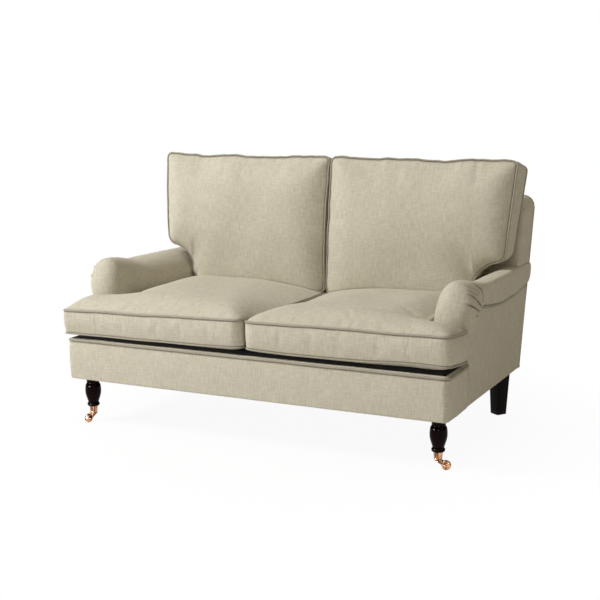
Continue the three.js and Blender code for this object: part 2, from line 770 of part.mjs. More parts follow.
// A boxed pad over a grid: kept(i, j) says which cells the cover fills, and place(u, v, level) turns a
// grid place into a point of the upper face (level 1), the lower face (-1) or the middle of the boxing (0)
function boxed_pad(columns, rows, kept, place) {
  const points = [];
  const faces = [];
  const seen = new Map();
  const point = (i, j, level) => {
    const key = `${i},${j},${level}`;
    if (!seen.has(key)) {
      seen.set(key, points.length);
      points.push(place(columns[i], rows[j], level));
    }
    return seen.get(key);
  };
  const wall = (i0, j0, i1, j1) => {
    for (const level of [-1, 0]) {
      const [a, b] = [point(i0, j0, level), point(i1, j1, level)];
      const [c, d] = [point(i1, j1, level + 1), point(i0, j0, level + 1)];
      faces.push([a, b, c], [a, c, d]);
    }
  };
  for (let i = 0; i + 1 < columns.length; i += 1) {
    for (let j = 0; j + 1 < rows.length; j += 1) {
      if (!kept(i, j)) continue;
      const cell = [[i, j], [i + 1, j], [i + 1, j + 1], [i, j + 1]];
      const [a, b, c, d] = cell.map(([m, n]) => point(m, n, 1));
      faces.push([a, b, c], [a, c, d]);
      const [e, f, g, h] = cell.map(([m, n]) => point(m, n, -1));
      faces.push([g, f, e], [h, g, e]);
      if (!kept(i, j - 1)) wall(i, j, i + 1, j);
      if (!kept(i + 1, j)) wall(i + 1, j, i + 1, j + 1);
      if (!kept(i, j + 1)) wall(i + 1, j + 1, i, j + 1);
      if (!kept(i - 1, j)) wall(i, j + 1, i, j);
    }
  }
  return from_points(points, faces);
}

// How far a side is drawn in between its corners, as a share: none at the corners, all in the middle
function bow(place, start, end) {
  const t = THREE.MathUtils.clamp((place - start) / (end - start), 0, 1);
  return 4 * t * (1 - t);
}

// The right seat cushion: u runs to the right and v to the back
const seat_inner = cushion_gap;
const seat_neck = arm_inner - arm_clearance;
const seat_outer = half_width + seat_ear_reach;
const seat_front = -seat_overhang;
const seat_ear_rear = arm_front - facing_swell - arm_clearance;
const seat_outline = [
  [seat_inner, seat_front], [seat_outer, seat_front], [seat_outer, seat_ear_rear],
  [seat_neck, seat_ear_rear], [seat_neck, seat_rear], [seat_inner, seat_rear],
];
const main_column_steps = 7;
const main_row_steps = 6;
const ear_row_steps = 2;
const neck_columns = grid_lines(seat_inner, seat_neck, seat_corner_radius, main_column_steps);

function seat_crown_height(x, y) {
  return seat_top + seat_crown * rise(edge_distance(x, y, seat_outline), seat_crown_reach);
}

function seat_cushion() {
  const ear_middle = (seat_neck + seat_outer) / 2;
  const columns = [...neck_columns, ear_middle, ...round_end(seat_outer, seat_corner_radius)];
  const front_rows = grid_lines(seat_front, seat_ear_rear, seat_corner_radius, ear_row_steps);
  const rear_rows = Array.from({ length: main_row_steps }, (_, i) => (
    seat_ear_rear + ((seat_rear - seat_ear_rear) * (i + 1)) / main_row_steps
  ));
  const rows = [...front_rows, ...rear_rows];
  const neck_cell = neck_columns.length - 1;
  const notch_cell = front_rows.length - 1;
  const kept = (i, j) => {
    const inside = i >= 0 && j >= 0 && i + 1 < columns.length && j + 1 < rows.length;
    return inside && (i < neck_cell || j < notch_cell);
  };
  const corners = [
    [seat_inner, seat_front, 1, 1], [seat_outer, seat_front, -1, 1], [seat_outer, seat_ear_rear, -1, -1],
    [seat_neck, seat_rear, -1, -1], [seat_inner, seat_rear, 1, -1],
  ];
  const lower_crown = seat_seam_height - platform_top - fit_gap;
  const place = (u, v, level) => {
    const [x, y] = rounded([u, v], corners, seat_corner_radius);
    const behind_front = Math.min((v - seat_front) / seat_ear_rear, 1);
    const front_pull = seat_draw * bow(u, seat_inner, seat_outer) * (1 - behind_front);
    const beside_middle = Math.min((u - seat_inner) / seat_neck, 1);
    const side_pull = seat_draw * bow(v, seat_front, seat_rear) * (1 - beside_middle);
    const lift = rise(edge_distance(u, v, seat_outline), seat_crown_reach);
    const heights = {
      '1': seat_top + seat_crown * lift,
      '0': (seat_top + seat_seam_height) / 2,
      '-1': seat_seam_height - lower_crown * lift,
    };
    return [x + side_pull, y + front_pull, heights[level]];
  };
  return boxed_pad(columns, rows, kept, place);
}

// The right back cushion: u runs to the right and v, from 0 to back_height, from its foot to its top
const back_outer = back_foot_half + back_flare;
const back_height = back_cushion_top - seat_top;
const notch = ear_neck_rise;
const ear_column_steps = 3;
const upper_row_steps = 5;

// Height of the cushion's foot, which lies on the seat cushion and follows its crown along the line
// under the front piping
function back_foot(x) {
  return seat_crown_height(Math.min(x, seat_neck), back_front_depth) + rest_gap;
}

// Height of the row of the notch: the lower edge of the ear lies over the inner slope of the roll
function notch_height(x) {
  const run = THREE.MathUtils.clamp((x - seat_neck) / ear_rise_run, 0, 1);
  return back_foot(x) + notch + ear_rise * Math.sin((run * Math.PI) / 2);
}

function back_cushion() {
  const columns = [...neck_columns];
  for (let i = 1; i < ear_column_steps; i += 1) {
    columns.push(seat_neck + ((back_outer - back_corner_rounding - seat_neck) * i) / ear_column_steps);
  }
  columns.push(...round_end(back_outer, back_corner_rounding));
  const lower_rows = grid_lines(0, notch, back_corner_rounding, 1);
  const upper_rows = grid_lines(notch, back_height, back_corner_rounding, upper_row_steps).slice(1);
  const rows = [...lower_rows, ...upper_rows];
  const neck_cell = neck_columns.length - 1;
  const notch_cell = lower_rows.length - 1;
  const kept = (i, j) => {
    const inside = i >= 0 && j >= 0 && i + 1 < columns.length && j + 1 < rows.length;
    return inside && (i < neck_cell || j >= notch_cell);
  };
  const outline = [
    [seat_inner, 0], [seat_neck, 0], [seat_neck, notch],
    [back_outer, notch], [back_outer, back_height], [seat_inner, back_height],
  ];
  const corners = [
    [back_outer, notch, -1, 1], [back_outer, back_height, -1, -1], [seat_inner, back_height, 1, -1],
  ];
  const place = (u, v, level) => {
    const [round_u, w] = rounded([u, v], corners, back_corner_rounding);
    const share = w / back_height;
    const lift = rise(edge_distance(u, v, outline), back_crown_reach);
    const top_pull = back_draw * bow(u, seat_inner, back_outer) * Math.max(2 * share - 1, 0);
    const beside_middle = Math.min((u - seat_inner) / seat_neck, 1);
    const side_pull = back_draw * bow(v, 0, back_height) * (1 - beside_middle);
    // the ear's outer edge is narrower below than above
    const ear_share = Math.max(round_u - seat_neck, 0) / (back_outer - seat_neck);
    const x = round_u + side_pull - back_flare * (1 - share) * ear_share;
    const top = back_cushion_top + (back_cushion_top_rise * level) / 2 - top_pull;
    const below = back_foot(x);
    const notch_z = notch_height(x);
    const z = w < notch
      ? THREE.MathUtils.lerp(below, notch_z, w / notch)
      : THREE.MathUtils.lerp(notch_z, top, (w - notch) / (back_height - notch));
    const front = back_front_depth + back_front_lean * share ** 2 - back_crown * lift;
    const inside_back = rear_face(z) - back_thickness - back_clearance;
    const rear_piping = back_front_depth + THREE.MathUtils.lerp(back_boxing_foot, back_boxing_top, share);
    const rear = Math.min(rear_piping + back_rear_crown * lift + back_front_lean * share, inside_back);
    const depths = { '1': front, '0': (front + back_crown * lift + rear) / 2, '-1': rear };
    return [x, depths[level], z];
  };
  return boxed_pad(columns, rows, kept, place);
}

for (const [side, direction] of sides) {
  add(`seat_cushion_${side}`, on_side(seat_cushion(), direction), linen);
  add(`back_cushion_${side}`, on_side(back_cushion(), direction), linen);
}

// Legs and their bolts
const bead_height = cup_top_height + leg_bead_half_height + fit_gap;
const ankle_height = bead_height + leg_bead_half_height;
const neck_height = ankle_height + leg_vase_height;
const spigot_foot = cup_foot_height + cup_floor + fit_gap + pin_head_height + pin_head_room;

const cove_height = leg_top - leg_top_land - neck_height;

// The vase between neck and ankle: radii as shares of the bulge's swelling, at shares of its height
const vase_shares = [[0.88, 0.75], [0.7, 0.98], [0.57, 1], [0.36, 0.82], [0.14, 0.38], [0, 0]];

function front_leg_profile() {
  const profile = [
    [0, leg_top - bolt_in_leg],
    [bolt_hole_radius, leg_top - bolt_in_leg],
    [bolt_hole_radius, leg_top],
    [leg_top_radius, leg_top],
    [leg_top_radius, leg_top - leg_top_land],
  ];
  const cove_steps = 3;
  for (let i = 1; i <= cove_steps; i += 1) {
    const angle = (i / cove_steps) * (Math.PI / 2);
    const height = leg_top - leg_top_land - cove_height * Math.sin(angle);
    profile.push([leg_neck_radius + (leg_top_radius - leg_neck_radius) * Math.cos(angle), height]);
  }
  for (const [up, out] of vase_shares) {
    const stem_radius = THREE.MathUtils.lerp(leg_ankle_radius, leg_neck_radius, up);
    const radius = stem_radius + (leg_bulge_radius - stem_radius) * out;
    profile.push([radius, ankle_height + leg_vase_height * up]);
  }
  const bead_steps = 5;
  const bead_root = leg_bead_radius - leg_bead_half_height;
  for (let i = 1; i < bead_steps; i += 1) {
    const angle = (i / bead_steps) * Math.PI - Math.PI / 2;
    const height = bead_height - leg_bead_half_height * Math.sin(angle);
    profile.push([bead_root + leg_bead_half_height * Math.cos(angle), height]);
  }
  const bead_foot = bead_height - leg_bead_half_height;
  profile.push([bead_root, bead_foot], [spigot_radius, bead_foot]);
  profile.push([spigot_radius, spigot_foot], [0, spigot_foot]);
  return profile;
}

function rear_leg() {
  const [top_radius, foot_radius] = [rear_leg_top_side / Math.SQRT2, rear_leg_foot_side / Math.SQRT2];
  const leg = new THREE.CylinderGeometry(top_radius, foot_radius, leg_top, 4, 1);
  leg.rotateY(Math.PI / 4).rotateX(Math.PI / 2).translate(0, 0, leg_top / 2);
  return cut(leg, bar(bolt_hole_radius, leg_top - bolt_in_leg, leg_top + cut_overrun));
}

const front_leg = turned(front_leg_profile(), leg_segments);
for (const [place, x, y] of leg_places) {
  const front = place.startsWith('front');
  const leg = add(`leg_${place}`, front ? front_leg : rear_leg(), dark_wood);
  leg.position.set(x, y, 0);
  leg.rotation.z = front ? 0 : -Math.sign(x) * rear_leg_turn;
  const bolt = bar(bolt_radius, leg_top - bolt_in_leg + fit_gap, timber_bottom + bolt_in_frame);
  add(`leg_bolt_${place}`, bolt, steel).position.set(x, y, 0);
}

// Casters, each laid out about its swivel pin with the axle along Y and the wheel at +X
function caster_cup() {
  const pin_hole = pin_radius + fit_gap;
  const socket = spigot_radius + fit_gap;
  const floor_top = cup_foot_height + cup_floor;
  return turned([
    [pin_hole, cup_foot_height],
    [cup_foot_radius, cup_foot_height],
    [cup_top_radius, cup_top_height],
    [socket, cup_top_height],
    [socket, floor_top],
    [pin_hole, floor_top],
    [pin_hole, cup_foot_height],
  ], cup_segments);
}

const fork_inner = wheel_width / 2 + fork_side_gap;
const fork_outer = fork_inner + fork_thickness;
const disc_top = cup_foot_height - fit_gap;
const disc_bottom = disc_top - horn_disc_height;

function lying_bar(radius, half_length, x, z) {
  const cylinder = new THREE.CylinderGeometry(radius, radius, 2 * half_length, rod_segments);
  return weld(cylinder.translate(x, 0, z));
}

function caster_horn() {
  const head_bottom = cup_foot_height + cup_floor + fit_gap;
  const pin = turned([
    [0, head_bottom + pin_head_height],
    [pin_head_radius, head_bottom + pin_head_height],
    [pin_head_radius, head_bottom],
    [pin_radius, head_bottom],
    [pin_radius, disc_top],
    [horn_disc_radius, disc_top],
    [horn_disc_radius, disc_bottom],
    [0, disc_bottom],
  ], pin_segments);
  const bridge_range = [disc_bottom, disc_bottom + horn_disc_height / 2];
  const bridge = block([-horn_disc_radius, horn_disc_radius / 2], [-fork_outer, fork_outer], bridge_range);
  // each arm runs from under the disc down to a round eye at the axle
  const arm = new THREE.Shape();
  arm.moveTo(-horn_disc_radius, bridge_range[1]);
  arm.lineTo(-horn_disc_radius, disc_bottom - horn_disc_height / 2);
  arm.absarc(caster_trail, wheel_radius, fork_eye_radius, fork_eye_start, fork_eye_end, false);
  arm.lineTo(horn_disc_radius, bridge_range[1]);
  const settings = { depth: fork_thickness, bevelEnabled: false, curveSegments: arc_segments };
  const arms = [-1, 1].map((direction) => {
    const plate = new THREE.ExtrudeGeometry(arm, settings);
    plate.rotateX(Math.PI / 2);
    return plate.translate(0, direction > 0 ? fork_outer : -fork_inner, 0);
  });
  const eye = lying_bar(axle_radius + fit_gap, fork_outer + cut_overrun, caster_trail, wheel_radius);
  return cut(join(pin, bridge, ...arms), eye);
}

function caster_axle() {
  const head_middle = fork_outer + fit_gap + axle_head_height / 2;
  const rod = lying_bar(axle_radius, head_middle, caster_trail, wheel_radius);
  const heads = [-1, 1].map((direction) => {
    const head = lying_bar(axle_head_radius, axle_head_height / 2, caster_trail, wheel_radius);
    return head.translate(0, direction * head_middle, 0);
  });
  return join(rod, ...heads);
}

function caster_wheel() {
  const half = wheel_width / 2;
  const bore = axle_radius + fit_gap;
  const face = half - wheel_hub_recess;
  const profile = [
    [bore, -half], [wheel_hub_radius, -half], [wheel_hub_radius, -face], [wheel_edge_radius, -face],
    [wheel_radius, -half / 3], [wheel_radius, half / 3], [wheel_edge_radius, face],
    [wheel_hub_radius, face], [wheel_hub_radius, half], [bore, half], [bore, -half],
  ];
  const points = profile.map(([radius, along]) => new THREE.Vector2(radius, along));
  return weld(new THREE.LatheGeometry(points, wheel_segments).translate(caster_trail, 0, wheel_radius));
}

for (const [side, direction] of sides) {
  const caster = new THREE.Group();
  caster.position.set(direction * front_leg_x, front_leg_front_inset, 0);
  caster.rotation.z = direction < 0 ? caster_turn_left : caster_turn_right;
  layout.add(caster);
  add(`caster_cup_${side}`, caster_cup(), copper, caster);
  add(`caster_horn_${side}`, caster_horn(), copper, caster);
  add(`caster_axle_${side}`, caster_axle(), copper, caster);
  add(`caster_wheel_${side}`, caster_wheel(), copper, caster);
}

export default sofa;
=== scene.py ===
"""An english roll arm sofa for two in greige linen, dressed around its frame.

Everything is in metres, with X to the right, Y to the back and Z up. Sizes come from the frame's boxes,
and the named values below add what the upholsterer does: roundings, crowns, piping, pleats and ripples.
"""
import json
import math

import bpy
import numpy as np
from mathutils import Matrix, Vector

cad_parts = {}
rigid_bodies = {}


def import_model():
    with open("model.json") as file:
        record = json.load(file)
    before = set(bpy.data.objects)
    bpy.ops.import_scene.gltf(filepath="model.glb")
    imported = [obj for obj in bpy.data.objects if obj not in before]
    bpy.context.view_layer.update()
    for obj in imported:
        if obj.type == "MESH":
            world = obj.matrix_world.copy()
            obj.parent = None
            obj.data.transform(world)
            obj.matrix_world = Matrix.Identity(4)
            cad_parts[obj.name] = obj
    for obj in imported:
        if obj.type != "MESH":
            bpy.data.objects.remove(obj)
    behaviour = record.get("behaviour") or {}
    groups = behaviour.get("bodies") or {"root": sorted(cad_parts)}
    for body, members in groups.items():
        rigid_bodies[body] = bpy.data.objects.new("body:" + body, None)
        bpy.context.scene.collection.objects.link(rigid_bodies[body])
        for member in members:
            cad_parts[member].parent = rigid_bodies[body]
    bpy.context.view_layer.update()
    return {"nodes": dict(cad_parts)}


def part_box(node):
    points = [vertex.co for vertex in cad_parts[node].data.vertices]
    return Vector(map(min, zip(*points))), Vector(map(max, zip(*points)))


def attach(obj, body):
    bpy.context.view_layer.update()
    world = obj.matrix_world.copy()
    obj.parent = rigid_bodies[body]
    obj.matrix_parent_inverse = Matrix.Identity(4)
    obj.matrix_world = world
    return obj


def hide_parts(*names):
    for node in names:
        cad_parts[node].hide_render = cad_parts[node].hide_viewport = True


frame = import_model()

MM = 0.001

# Piping
PIPING = 3.2 * MM  # its radius
PIPING_SIDES = 10

# Base border
BORDER_BULGE = 3 * MM
LIP_WIDTH = 52 * MM  # of the rolled lip behind the border's piping
LIP_RISE = 5.5 * MM

# Arms
FRONT_DOME = 3 * MM  # of the gathered front, past the solid's foremost face
FRONT_POWER = 2.1  # of its curve: 2 is an ellipse, and more is flatter with a tighter edge
GATHER_RUN = 95 * MM  # over which the gathers end
CREST_RUN = 190 * MM  # over which the crest settles from its height and curve at the front
FACING_DRAW = 14 * MM  # of the front's inner edge, drawn in by the gathers
ROLL_POWER = 5  # of the roll's outer top edge, behind the gathers

# Cushions
CUSHION_STEP = 11 * MM
SEAM_STEPS = [0, 2.2 * MM, 5 * MM, 9.5 * MM, 15 * MM]  # grid lines beside a seam
# Rows of the boxing between two seams, close together beside both, as shares of its width
WALL_SHARES = [0, 0.028, 0.065, 0.12, 0.2, 0.32, 0.44, 0.56, 0.68, 0.8, 0.88, 0.935, 0.972, 1]
SEAM_SHOULDER = 2.4 * MM  # how far the cloth stands up beside the groove of a seam
SEAM_SHADE = 3.2 * MM  # width of the shade beside a seam
PIPING_OUT = 2.6 * MM  # of the piping past the corner of the seam
BOXING_BULGE = 4 * MM
CUSHION_INNER = 5.5 * MM  # from the middle of the sofa to a seam
SEAT_CROWN, SEAT_REACH, SEAT_POWER = 44 * MM, 120 * MM, 2.5
BACK_CROWN, BACK_REACH, BACK_POWER = 40 * MM, 120 * MM, 2.6
LOWER_SEAM_INSET = 9 * MM  # of a seat cushion's lower front seam behind the upper one
FILLING_PRESSURE = 4
FILLING_FRAMES = 20
FILLING_CAP = 14 * MM  # on how far the filling moves the cloth


def corners_of(node):
    """Lowest and highest corner of a node, as arrays."""
    low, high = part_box(node)
    return np.array(low), np.array(high)


border_low, border_high = corners_of("front_border")
HALF_WIDTH = border_high[0]
FRONT = border_low[1]
LEG_HEIGHT = border_low[2]
BORDER_TOP = border_high[2]
facing_low, facing_high = corners_of("arm_facing_right")
ARM_INNER = facing_low[0]
ARM_FRONT = border_high[1]
FACING_FRONT = facing_low[1]
ARM_BOTTOM = facing_low[2]
ROLL_TOP_FRONT = facing_high[2]
ROLL_OUTER_FRONT = facing_high[0]
back_low, back_high = corners_of("back_border")
BACK_TOP = back_high[2]
REAR_TOP = back_high[1]
BACK_THICKNESS = 165 * MM
DECK_TOP = corners_of("seat_deck")[1][2]
SEAT_OUTER = corners_of("seat_cushion_right")[1][0]
SEAT_REAR = corners_of("seat_cushion_right")[1][1]
SEAT_FRONT = FRONT - 15 * MM
SEAT_SEAM = DECK_TOP + 113 * MM  # height of a seat cushion's upper seam
NECK = ARM_INNER - 4 * MM  # from the middle of the sofa to a cushion's side beside the arm
BACK_FOOT_FRONT = FRONT + 684 * MM  # the back cushions' front seam where they stand on the seat
# The outside back runs from the foot to the top, so its box gives the lean
SKIN = 12 * MM  # of a solid's wall, which the covers close over
REAR_FOOT = corners_of("outside_back")[0][1] + SKIN
LEAN = (REAR_TOP - REAR_FOOT) / (BACK_TOP - LEG_HEIGHT)


def rear_face(z):
    """The leaning rear face: its y at a height z."""
    return REAR_FOOT + (z - LEG_HEIGHT) * LEAN


# Meshes

def outward(points, quads):
    """Whether the closed shape that the quads make has its faces turned outwards."""
    a, b, c, d = (points[quads[:, k]] for k in range(4))
    return np.einsum("ij,ij->", a, np.cross(b, c)) + np.einsum("ij,ij->", a, np.cross(c, d)) > 0


def build(name, points, quads, places, material, body="frame", slot="linen", fold=None):
    """A smooth mesh from points and quads. places gives each quad corner its place on the cloth, in
    metres, as an array of quads x 4 x 2. A quad whose last two corners are alike is a triangle. fold
    gives each point's share of the shade in a seam or a pleat."""
    if not outward(points, quads):
        turned_round = [2, 1, 0, 3]
        triangle = quads[:, 2] == quads[:, 3]
        quads, places = quads[:, turned_round], places[:, turned_round]
        # a triangle keeps its like corners last
        last_turned = [1, 2, 0, 0]
        quads[triangle], places[triangle] = quads[triangle][:, last_turned], places[triangle][:, last_turned]
    kept = np.ones(quads.shape, bool)
    kept[:, 3] = quads[:, 2] != quads[:, 3]
    sides = kept.sum(1)
    mesh = bpy.data.meshes.new(name)
    mesh.from_pydata(points.tolist(), [], [])
    mesh.loops.add(int(sides.sum()))
    mesh.loops.foreach_set("vertex_index", quads[kept].astype(np.int32))
    mesh.polygons.add(len(quads))
    mesh.polygons.foreach_set("loop_start", (np.cumsum(sides) - sides).astype(np.int32))
    mesh.update(calc_edges=True)
    layer = mesh.uv_layers.new(name="cloth")
    layer.data.foreach_set("uv", places[kept].astype(np.float32).ravel())
    if fold is not None:
        shade = mesh.attributes.new("fold", "FLOAT", "POINT")
        shade.data.foreach_set("value", np.asarray(fold, np.float32))
    if mesh.validate():
        print("mesh mended:", name)
    mesh.polygons.foreach_set("use_smooth", np.ones(len(mesh.polygons), bool))
    mesh.materials.append(material)
    piece = bpy.data.objects.new(name, mesh)
    bpy.context.scene.collection.objects.link(piece)
    piece["body"] = body
    return piece


def subdivide(piece, levels=1):
    """Rounds a piece by subdivision, alike in every view."""
    modifier = piece.modifiers.new("smooth", "SUBSURF")
    modifier.levels = levels
    modifier.render_levels = levels


def lengths_along(points, closed=False):
    """Distance along a row of points to each of them, and to the first one again if it is closed."""
    path = np.concatenate([points, points[:1]]) if closed else points
    return np.concatenate([[0], np.cumsum(np.linalg.norm(np.diff(path, axis=0), axis=1))])


def grid_corners(grid):
    """The four corners of each quad of a grid, of point numbers or of places on the cloth."""
    return np.stack([grid[:-1, :-1], grid[:-1, 1:], grid[1:, 1:], grid[1:, :-1]], 2)


def loft(name, rings, material, uv=None, cap_ends=True, front_uv=None, front_rows=0, fold=None, **where):
    """Like closed rings of points, as rows x columns x 3, joined in order. Each end closes in a fan
    round its middle. The cloth lies along the rings and across them, or as uv says, and on the first
    rows as front_uv says."""
    rows, columns = rings.shape[:2]
    points = rings.reshape(-1, 3)
    wrapped = np.concatenate([np.arange(columns), [0]])
    numbers = np.arange(rows)[:, None] * columns + wrapped[None, :]
    quads = grid_corners(numbers).reshape(-1, 4)
    if uv is None:
        round_length = np.stack([lengths_along(ring, closed=True) for ring in rings])
        along = np.linalg.norm(np.diff(rings, axis=0), axis=2).mean(1)
        across = np.concatenate([[0], np.cumsum(along)])
        uv = np.stack([round_length, across[:, None] + 0 * round_length], -1)
    places = grid_corners(uv)
    if front_uv is not None:
        places[:front_rows] = grid_corners(front_uv)[:front_rows]
    places = places.reshape(-1, 4, 2)
    if cap_ends:
        first_grid = uv if front_uv is None else front_uv
        for row, grid, reverse in ((0, first_grid, True), (rows - 1, uv, False)):
            middle = np.full(columns, len(points))
            points = np.concatenate([points, rings[row].mean(0)[None]])
            first, second = numbers[row, :-1], numbers[row, 1:]
            first_uv, second_uv = grid[row, :-1], grid[row, 1:]
            middle_uv = np.repeat(grid[row, :-1].mean(0)[None], columns, 0)
            if reverse:
                first, second, first_uv, second_uv = second, first, second_uv, first_uv
            quads = np.concatenate([quads, np.stack([first, second, middle, middle], -1)])
            places = np.concatenate([places, np.stack([first_uv, second_uv, middle_uv, middle_uv], 1)])
            if fold is not None:
                fold = np.concatenate([fold, [0]])
    return build(name, points, quads, places, material, fold=fold, **where)


def tube(name, path, radius, material, up, closed=True, **where):
    """A round cord along a row of points: a circle of the given radius, square to the path, with up
    as the direction that its first side faces."""
    ahead = np.roll(path, -1, 0) - np.roll(path, 1, 0)
    if not closed:
        ahead[0], ahead[-1] = path[1] - path[0], path[-1] - path[-2]
    ahead /= np.linalg.norm(ahead, axis=1, keepdims=True)
    up = np.broadcast_to(np.asarray(up, float), path.shape)
    first = up - ahead * np.einsum("ij,ij->i", up, ahead)[:, None]
    first /= np.linalg.norm(first, axis=1, keepdims=True)
    second = np.cross(ahead, first)
    angle = np.arange(PIPING_SIDES) * 2 * np.pi / PIPING_SIDES
    circle = np.cos(angle)[None, :, None] * first[:, None] + np.sin(angle)[None, :, None] * second[:, None]
    rings = path[:, None] + radius * circle
    if closed:
        rings = np.concatenate([rings, rings[:1]])
    along = lengths_along(path, closed)
    across = np.arange(PIPING_SIDES + 1) * 2 * np.pi * radius / PIPING_SIDES
    # the cover of a piping is cut on the bias
    uv = np.stack([across[None, :] + along[:, None], along[:, None] - across[None, :]], -1) * math.sqrt(0.5)
    piece = loft(name, rings, material, uv, cap_ends=not closed, **where)
    if closed:
        weld(piece)


def weld(piece):
    """Merges the points of a piece that lie on each other."""
    modifier = piece.modifiers.new("weld", "WELD")
    modifier.merge_threshold = 0.01 * MM


# Shapes of sewn cloth

def waves(along, length, seed):
    """Uneven waves along a line: the sum of four sines, whose lengths are fixed shares of the given
    one and whose phases come from the seed. Mostly between -1 and 1."""
    phases = np.random.default_rng(seed).uniform(0, 2 * np.pi, 4)
    shares = (1.0, 0.71, 0.47, 0.31)
    weights = (0.4, 0.3, 0.2, 0.1)
    parts = zip(weights, shares, phases)
    return sum(w * np.sin(2 * np.pi * along / (length * s) + p) for w, s, p in parts)


def swells(u, v, length, seed):
    """An uneven soft field over a panel: the sum of eight plane sine waves in all directions, with
    lengths from 0.7 to 1.6 of the given one. Mostly between -1 and 1."""
    rng = np.random.default_rng(seed)
    total = 0
    for turn in rng.uniform(0, np.pi, 8):
        size = length * rng.uniform(0.7, 1.6)
        ahead = u * np.cos(turn) + v * np.sin(turn)
        total = total + np.sin(2 * np.pi * ahead / size + rng.uniform(0, 2 * np.pi))
    return total / 3


def ease(share):
    """A smooth step: 0 up to a share of 0 and 1 from a share of 1, level at both ends."""
    t = np.clip(share, 0, 1)
    return t * t * (3 - 2 * t)


def bow(share):
    """A parabola over the way between two seams: 0 at both and 1 halfway."""
    t = np.clip(share, 0, 1)
    return 4 * t * (1 - t)


def lines_between(start, end, step, seam_start=True, seam_end=True):
    """Grid lines from start to end about a step apart, and close together beside the ends that are
    seams."""
    near = np.array(SEAM_STEPS)
    head = start + near if seam_start else np.array([start])
    tail = (end - near)[::-1] if seam_end else np.array([end])
    count = max(1, int(round((tail[0] - head[-1]) / step)))
    middle = np.linspace(head[-1], tail[0], count + 1)[1:-1]
    return np.concatenate([head, middle, tail])


def edge_distance(u, v, outline):
    """Distance from each place to the nearest side of an outline of (u, v) corners."""
    nearest = np.full(np.shape(u), 1e9)
    for (u0, v0), (u1, v1) in zip(outline, outline[1:] + outline[:1]):
        du, dv = u1 - u0, v1 - v0
        share = np.clip(((u - u0) * du + (v - v0) * dv) / (du * du + dv * dv), 0, 1)
        nearest = np.minimum(nearest, np.hypot(u - u0 - share * du, v - v0 - share * dv))
    return nearest


def smooth_line(points, steps=6):
    """A smooth curve through points: a cubic between each two, whose slope at a point is half the
    way from the one before to the one after."""
    points = np.asarray(points, float)
    slope = np.gradient(points, axis=0)
    share = np.linspace(0, 1, steps, endpoint=False)[None, :, None]
    a, b = points[:-1, None], points[1:, None]
    m, n = slope[:-1, None], slope[1:, None]
    curve = ((2 * share ** 3 - 3 * share ** 2 + 1) * a + (share ** 3 - 2 * share ** 2 + share) * m
             + (3 * share ** 2 - 2 * share ** 3) * b + (share ** 3 - share ** 2) * n)
    return np.concatenate([curve.reshape(-1, 2), points[-1:]])


def soft_distance(u, v, outline, power=3):
    """A soft minimum of the distances to the sides of an outline: their powers are added, so that a
    form that follows it turns evenly in the corners."""
    total = 0
    for start, end in zip(outline, outline[1:] + outline[:1]):
        total = total + np.maximum(edge_distance(u, v, [start, end]), 1e-6) ** -power
    return total ** (-1 / power)


def rise(distance, reach, power=3):
    """Share of a crown at a distance from the seam: quick at the seam, level at the end of its reach."""
    return 1 - (1 - np.minimum(distance / reach, 1)) ** power


def round_convex(u, v, corner, inward, radius):
    """Moves the square beside an outer corner onto a quarter disc: a place keeps its direction from
    the disc's centre, and its larger distance along u or v becomes its distance."""
    du = radius - (u - corner[0]) * inward[0]
    dv = radius - (v - corner[1]) * inward[1]
    near = (du > 0) & (dv > 0) & (du <= radius * 1.0001) & (dv <= radius * 1.0001)
    scale = np.where(near, np.maximum(du, dv) / np.maximum(np.hypot(du, dv), 1e-9), 1)
    return (np.where(near, corner[0] + (radius - du * scale) * inward[0], u),
            np.where(near, corner[1] + (radius - dv * scale) * inward[1], v))


def round_corners(u, v, corners):
    """Rounds several outer corners, each given as its place, the way inwards and its radius."""
    for corner, inward, radius in corners:
        u, v = round_convex(u, v, corner, inward, radius)
    return u, v


def round_concave(u, v, corner, outside, radius):
    """Fills an inner corner with a fillet: its two sides move onto a quarter circle about a centre
    in the missing quadrant, and the places inside follow, less and less within twice the radius."""
    across = (u - corner[0]) * outside[0]
    up = (v - corner[1]) * outside[1]
    turn_u = np.pi / 4 * (1 - np.clip(across / radius, 0, 1))
    turn_v = np.pi / 4 * (1 - np.clip(up / radius, 0, 1))
    # along the side that runs with u, and along the side that runs with v
    along_u = across > up
    shift_across = np.where(along_u, radius * (1 - np.sin(turn_u)) - np.maximum(across, 0),
                            radius * (1 - np.cos(turn_v)))
    shift_up = np.where(along_u, radius * (1 - np.cos(turn_u)),
                        radius * (1 - np.sin(turn_v)) - np.maximum(up, 0))
    beyond = (across > radius) | (up > radius)
    fade_across = np.clip(1 + np.minimum(across, 0) / (2 * radius), 0, 1)
    fade_up = np.clip(1 + np.minimum(up, 0) / (2 * radius), 0, 1)
    fade = np.where(beyond, 0, fade_across * fade_up)
    return u + shift_across * fade * outside[0], v + shift_up * fade * outside[1]


def panel_layout(kept, corners):
    """Numbers the points of a panel that fills the kept cells of a grid, and gives its quads and the
    points of its edge in order. corners are the (column, row) places of the outline's corners."""
    columns, rows = kept.shape[0] + 1, kept.shape[1] + 1
    used = np.zeros((columns, rows), bool)
    for across in (0, 1):
        for up in (0, 1):
            used[across:columns - 1 + across, up:rows - 1 + up] |= kept
    number = np.full(used.shape, -1)
    number[used] = np.arange(used.sum())
    i, j = np.nonzero(kept)
    cells = np.stack([number[i, j], number[i + 1, j], number[i + 1, j + 1], number[i, j + 1]], 1)
    edge = []
    for (i0, j0), (i1, j1) in zip(corners, corners[1:] + corners[:1]):
        steps = max(abs(i1 - i0), abs(j1 - j0))
        share = np.arange(steps) / steps
        across = np.rint(i0 + (i1 - i0) * share).astype(int)
        up = np.rint(j0 + (j1 - j0) * share).astype(int)
        edge.append(number[across, up])
    return used, cells, np.concatenate(edge)


